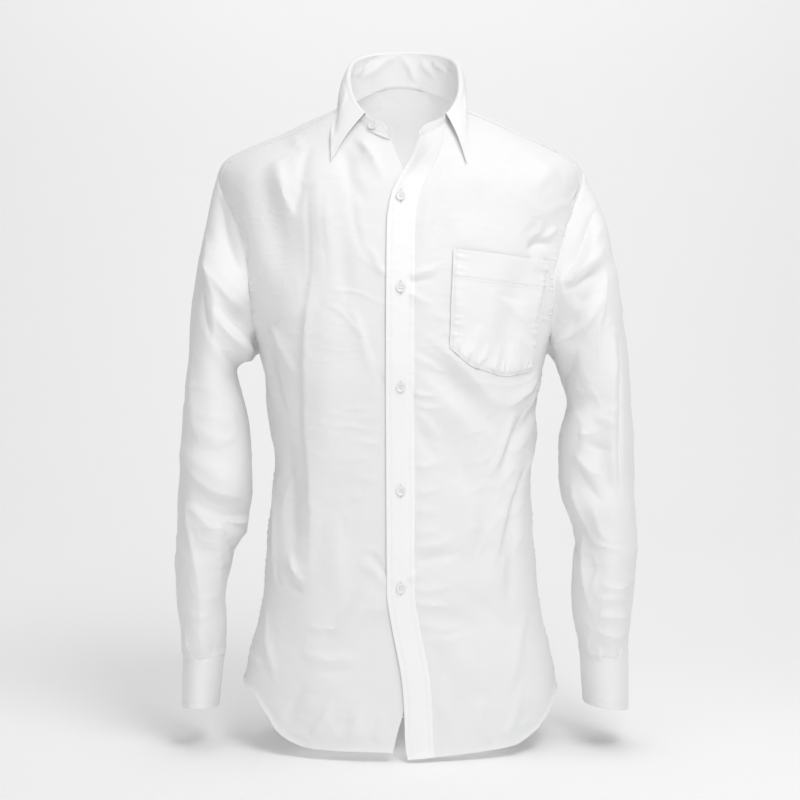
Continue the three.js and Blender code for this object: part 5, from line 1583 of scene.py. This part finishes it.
def add_pocket(face, directions):
    down = steps(POCKET_DEPTH, POCKET_PITCH)[:, None]
    across = steps(POCKET_SPAN, POCKET_PITCH)[None, :]
    ends = curve(POCKET, 3 * down)
    x = mix(ends["left_x"], ends["right_x"], across)
    z = mix(ends["left_z"], ends["right_z"], across)
    z = z - curve(POCKET_BOTTOM, across)["drop"] * down**2
    grid, normals = laid_on(face, directions, x, z)
    for _ in range(10):
        inner = grid[1:-1, :, 1]
        inner += (grid[:-2, :, 1] - 2 * inner + grid[2:, :, 1]) / 4
        inner = grid[:, 1:-1, 1]
        inner += (grid[:, :-2, 1] - 2 * inner + grid[:, 2:, 1]) / 4
    normals = grid_normals(grid, normals)
    creases = crease_heights(grid, POCKET_CREASES, 901, grid[..., 1] < 0, FRONT_CREASING)
    height = CLOTH + 0.6 + np.maximum(creases, -0.4)
    below = distances(grid, 0)
    to_side = from_sides(grid)
    to_bottom = from_edge(grid, "top")
    edge = np.minimum(to_side, to_bottom)
    height += 0.5 * (1 - hump(edge, 0, 3)) - 0.5 * hump(edge, EDGE_STITCH, 1.1)
    height += 2.6 * pucker(distances(grid, 1), 902, 7) * pocket_ripples(to_bottom, 6, 9)
    height += 1.6 * pucker(below, 903, 11) * pocket_ripples(to_side, 6, 9)
    height += 0.8 * (1 - smoothstep(below, POCKET_HEM - 0.8, POCKET_HEM + 0.8))
    height -= 0.8 * hump(below, POCKET_HEM_STITCH, 1.2)
    height += 1.4 * hump(below, 0, 10) * smoothstep(to_side, 4, 30)
    return cloth_piece("pocket", "patch", grid, normals, height, CLOTH, DOUBLE_SHIRTING)


# Buttons.

BUTTON_FACE = (0.62, 1.32)  # the flat middle: its share of the radius and its height
BUTTON_RIM = (
    (0.7, 1.42), (0.76, 1.7), (0.86, 1.85), (0.95, 1.7), (1.0, 1.4),
    (1.0, 0.9), (0.95, 0.55), (0.84, 0.4), (0.02, 0.4),
)  # the rest of the turned profile, round the rim to the middle of the underside
HOLE_RADIUS = 0.75
HOLE_DEPTH = 0.8
HOLE_PLACE = 1.25
BUTTON_TURNS = 48
FACE_RINGS = 12
STRANDS = (-0.3, 0.0, 0.3)
BUTTONHOLE_LENGTH = 15.0
BUTTONHOLE_WIDTH = 2.6


def button_mesh():
    """A turned disc with a raised rim and four thread holes pressed through its middle."""
    share, top = BUTTON_FACE
    profile = [(radius, top) for radius in np.linspace(0.02, share, FACE_RINGS)]
    profile = np.array(profile + list(BUTTON_RIM))
    turn = np.linspace(0, 2 * math.pi, BUTTON_TURNS, endpoint=False)
    radius = profile[:, :1] * BUTTON_RADIUS
    x = radius * np.cos(turn)
    y = radius * np.sin(turn)
    z = profile[:, 1:] + np.zeros_like(x)
    for hole_x in (-HOLE_PLACE, HOLE_PLACE):
        for hole_y in (-HOLE_PLACE, HOLE_PLACE):
            gap = np.hypot(x - hole_x, y - hole_y)[:FACE_RINGS]
            sunk = HOLE_DEPTH * (1 - smoothstep(gap, HOLE_RADIUS * 0.7, HOLE_RADIUS * 1.15))
            z[:FACE_RINGS] -= sunk
    index = np.arange(x.size).reshape(x.shape)
    ahead = np.roll(index, -1, axis=1)
    sides = np.stack([index[:-1], index[1:], ahead[1:], ahead[:-1]], axis=-1).reshape(-1, 4)
    faces = [*sides.tolist(), index[0].tolist(), index[-1][::-1].tolist()]
    return np.stack([x, y, z], axis=-1).reshape(-1, 3), faces


def placed(made, place, out, up):
    """Vertices and faces moved to a place, with their own z along `out` and y along `up`."""
    vertices, faces = made
    right = unit(np.cross(up, out))
    frame_of_place = np.stack([right, np.cross(out, right), out])
    return place + vertices @ frame_of_place, faces


def add_button(node, place, out):
    disc = new_piece(f"{node}_disc", *placed(button_mesh(), place, out, UP), BUTTON)
    dressed(disc, "button", node)
    strands = [x + shift for x in (-HOLE_PLACE, HOLE_PLACE) for shift in STRANDS]
    starts = [(x, -HOLE_PLACE - 0.2, 1.38) for x in strands]
    ends = [(x, HOLE_PLACE + 0.2, 1.38) for x in strands]
    across = thread(starts, ends, UP, 0.24)
    shank = thread([(0, 0, -0.9)], [(0, 0, 0.7)], np.array([1.0, 0, 0]), 1.3)
    add_threads(f"{node}_thread", [placed(made, place, out, UP) for made in (across, shank)])


def buttonhole(place, out, up):
    """Dense stitches across both lips of a slit, with a bar at each end."""
    half, side = BUTTONHOLE_LENGTH / 2, BUTTONHOLE_WIDTH / 2
    starts, ends = [], []
    for y in np.arange(-half, half, 0.55):
        starts += [(-0.25, y, 0), (0.25, y, 0)]
        ends += [(-side, y + 0.15, 0), (side, y + 0.15, 0)]
    for bar in (-half - 0.5, half + 0.3):
        for shift in (-0.4, 0.0, 0.4):
            starts.append((-side, bar + shift, 0))
            ends.append((side, bar + shift, 0))
    return placed(thread(starts, ends, UP, 0.3), place + out * 0.1, out, up)


def nearest(face, directions, target):
    flat = face.reshape(-1, 3)
    index = ((flat - target) ** 2).sum(axis=1).argmin()
    return flat[index], directions.reshape(-1, 3)[index]


# Assembly.

ARMS = (
    ("right", -1, RIGHT_SLEEVE, RIGHT_CUFF, RIGHT_SLEEVE_CREASES, 1001),
    ("left", 1, LEFT_SLEEVE, LEFT_CUFF, LEFT_SLEEVE_CREASES, 1101),
)

right = add_front("front_right", -1, RIGHT_EDGE, RIGHT_FRONT_CREASES, 301)
left = add_front("front_left", 1, LEFT_EDGE, LEFT_FRONT_CREASES, 401)
placket = add_placket(*left[:2])
back = add_back()
yoke = add_yoke()
pocket = add_pocket(*left[:2])
stand = add_stand()
leaf = add_leaf()
strips, cuffs = {}, {}
for arm, side, rings, cuff, creases, seed in ARMS:
    sleeve = add_sleeve(f"sleeve_{arm}", side, rings, creases, seed)
    strips[arm] = add_sleeve_placket(f"sleeve_placket_{arm}", *sleeve)
    cuffs[arm] = add_cuff(f"cuff_{arm}", rings, cuff, seed + 50)

holes = []
for number, height in enumerate(BUTTON_HEIGHTS, 1):
    place, out = nearest(*placket, np.array([BUTTON_X, -120.0, height]))
    place = np.array([BUTTON_X, place[1], height])
    add_button(f"button_{number}", place + out * 0.5, out)
    holes.append(buttonhole(place, out, UP))
around = np.array(STAND_BUTTON_AROUND)
place, out = nearest(*stand, (stand_bottom(around) + stand_top(around)) / 2)
add_button("button_collar", place + out, out)
place, out = nearest(*stand, np.array(STAND_HOLE))
holes.append(buttonhole(place, out, unit(np.array([1.0, 0, -0.35]))))
for arm, (face, directions) in cuffs.items():
    row = round(face.shape[0] * 0.36)
    place, out = face[row, -8], directions[row, -8]
    add_button(f"button_cuff_{arm}", place + out * 0.9, out)
    holes.append(buttonhole(place, out, unit(face[row, -7] - face[row, -9])))
add_threads("buttonholes", holes)

body_cloths = (right, left, back)
hem_lines = [edge_line(face, "bottom", HEM_STITCH) for face, _, _ in body_cloths]
add_stitches("stitches_hem", hem_lines, *body_cloths)
sew_edges("placket", placket, ("left", HEM_STITCH), ("right", HEM_STITCH))
pocket_hem = ("bottom", POCKET_HEM_STITCH)  # the pocket's grid starts at its mouth
sew_edges("pocket", pocket, *[(edge, EDGE_STITCH) for edge in ("left", "right", "top")], pocket_hem)
sew_edges("collar", leaf, *[(edge, FUSED_STITCH) for edge in ("left", "right", "top")])
sew_edges("stand", stand, ("bottom", 4), ("top", 3))
sew_edges("yoke", yoke, *[(edge, EDGE_STITCH) for edge in ("bottom", "left", "right")])
armhole_lines = []
for (face, _, rows), edge in ((right, "right"), (left, "right"), (back, "left"), (back, "right")):
    edge_rows = rows[:, 0 if edge == "left" else -1]
    beside_armhole = (edge_rows > ARMPIT_ROW + 0.05) & (edge_rows < YOKE_ROW)
    armhole_lines.append(edge_line(face, edge, ARMHOLE_STITCH)[beside_armhole])
add_stitches("stitches_armholes", armhole_lines, *body_cloths)
for arm in cuffs:
    all_edges = [(edge, FUSED_STITCH) for edge in ("bottom", "top", "left", "right")]
    sew_edges(f"cuff_{arm}", cuffs[arm], *all_edges)
    sew_edges(f"sleeve_placket_{arm}", strips[arm], ("left", EDGE_STITCH), ("right", EDGE_STITCH))


# Stage, lights and camera, in metres.

WALL_Y = 3.0
WALL_TOP = 4.0
FLOOR_FRONT = -6.0
BEND_RADIUS = 1.1
BEND_STEPS = 16
HALF_WIDTH = 6.0
# Name, place, target, width and height, and power. The last three stand inside the shirt.
LIGHTS = (
    ("key", (0.9, -1.5, 1.9), (0, 0, -0.3), (1.2, 1.2), 20),
    ("over", (0.35, -1.15, 0.5), (0, 0, -0.2), (0.5, 0.4), 4.0),
    ("fill", (-2.2, -2.2, 1.0), (0, 0, -0.3), (1.1, 1.1), 2.5),
    ("top", (0.1, -0.4, 2.2), (0, 0.1, -0.4), (1.4, 1.0), 7),
    ("low", (0, -2.4, -0.55), (0, 0, -0.75), (2.4, 0.3), 3.7),
    ("wall", (0, 1.3, 1.7), (0, 2.7, 0), (3.2, 0.6), 19),
    ("neck", (0, -0.03, -0.2), (0, 0.06, 0), (0.1, 0.1), 0.17),
    ("hollow", (0, 0, -0.5), (0, 0, -1), (0.14, 0.1), 0.06),
    ("hem", (0, -0.07, -0.722), (0, -0.07, -1), (0.24, 0.03), 0.016),
)
WORLD_STRENGTH = 0.46


def add_backdrop():
    """A floor that curves up into the wall behind."""
    profile = [(FLOOR_FRONT, FLOOR_Z)]
    for turn in np.radians(np.linspace(0, 90, BEND_STEPS + 1)):
        y = WALL_Y - BEND_RADIUS * (1 - math.sin(turn))
        profile.append((y, FLOOR_Z + BEND_RADIUS * (1 - math.cos(turn))))
    profile.append((WALL_Y, WALL_TOP))
    vertices = [(x, y, z) for y, z in profile for x in (-HALF_WIDTH, HALF_WIDTH)]
    faces = [(i, i + 1, i + 3, i + 2) for i in range(0, len(vertices) - 2, 2)]
    mesh = bpy.data.meshes.new("studio_backdrop")
    mesh.from_pydata(vertices, [], faces)
    mesh.polygons.foreach_set("use_smooth", np.ones(len(faces), bool))
    mesh.materials.append(backdrop_material())
    backdrop = bpy.data.objects.new("studio_backdrop", mesh)
    bpy.context.scene.collection.objects.link(backdrop)


def add_light(name, place, target, size, power):
    light = bpy.data.lights.new(name, "AREA")
    light.shape = "RECTANGLE"
    light.size, light.size_y = size
    light.energy = power
    lamp = bpy.data.objects.new(name, light)
    lamp.location = place
    toward = Vector(target) - Vector(place)
    lamp.rotation_euler = toward.to_track_quat("-Z", "Y").to_euler()
    bpy.context.scene.collection.objects.link(lamp)


def add_camera():
    camera_data = bpy.data.cameras.new("camera")
    camera_data.lens = CAMERA_LENS
    camera_data.sensor_width = CAMERA_SENSOR
    camera_data.shift_x = CAMERA_SHIFT
    camera = bpy.data.objects.new("camera", camera_data)
    camera.location = CAMERA_PLACE
    camera.rotation_euler = (math.radians(90 - CAMERA_TILT), 0, 0)
    bpy.context.scene.collection.objects.link(camera)
    bpy.context.scene.camera = camera


add_backdrop()
for lamp in LIGHTS:
    add_light(*lamp)
add_camera()

world = bpy.data.worlds.new("studio")
world.use_nodes = True
world.node_tree.nodes["Background"].inputs[0].default_value = (1.0, 1.0, 1.0, 1)
world.node_tree.nodes["Background"].inputs[1].default_value = WORLD_STRENGTH
bpy.context.scene.world = world
bpy.context.scene.view_settings.view_transform = "Standard"
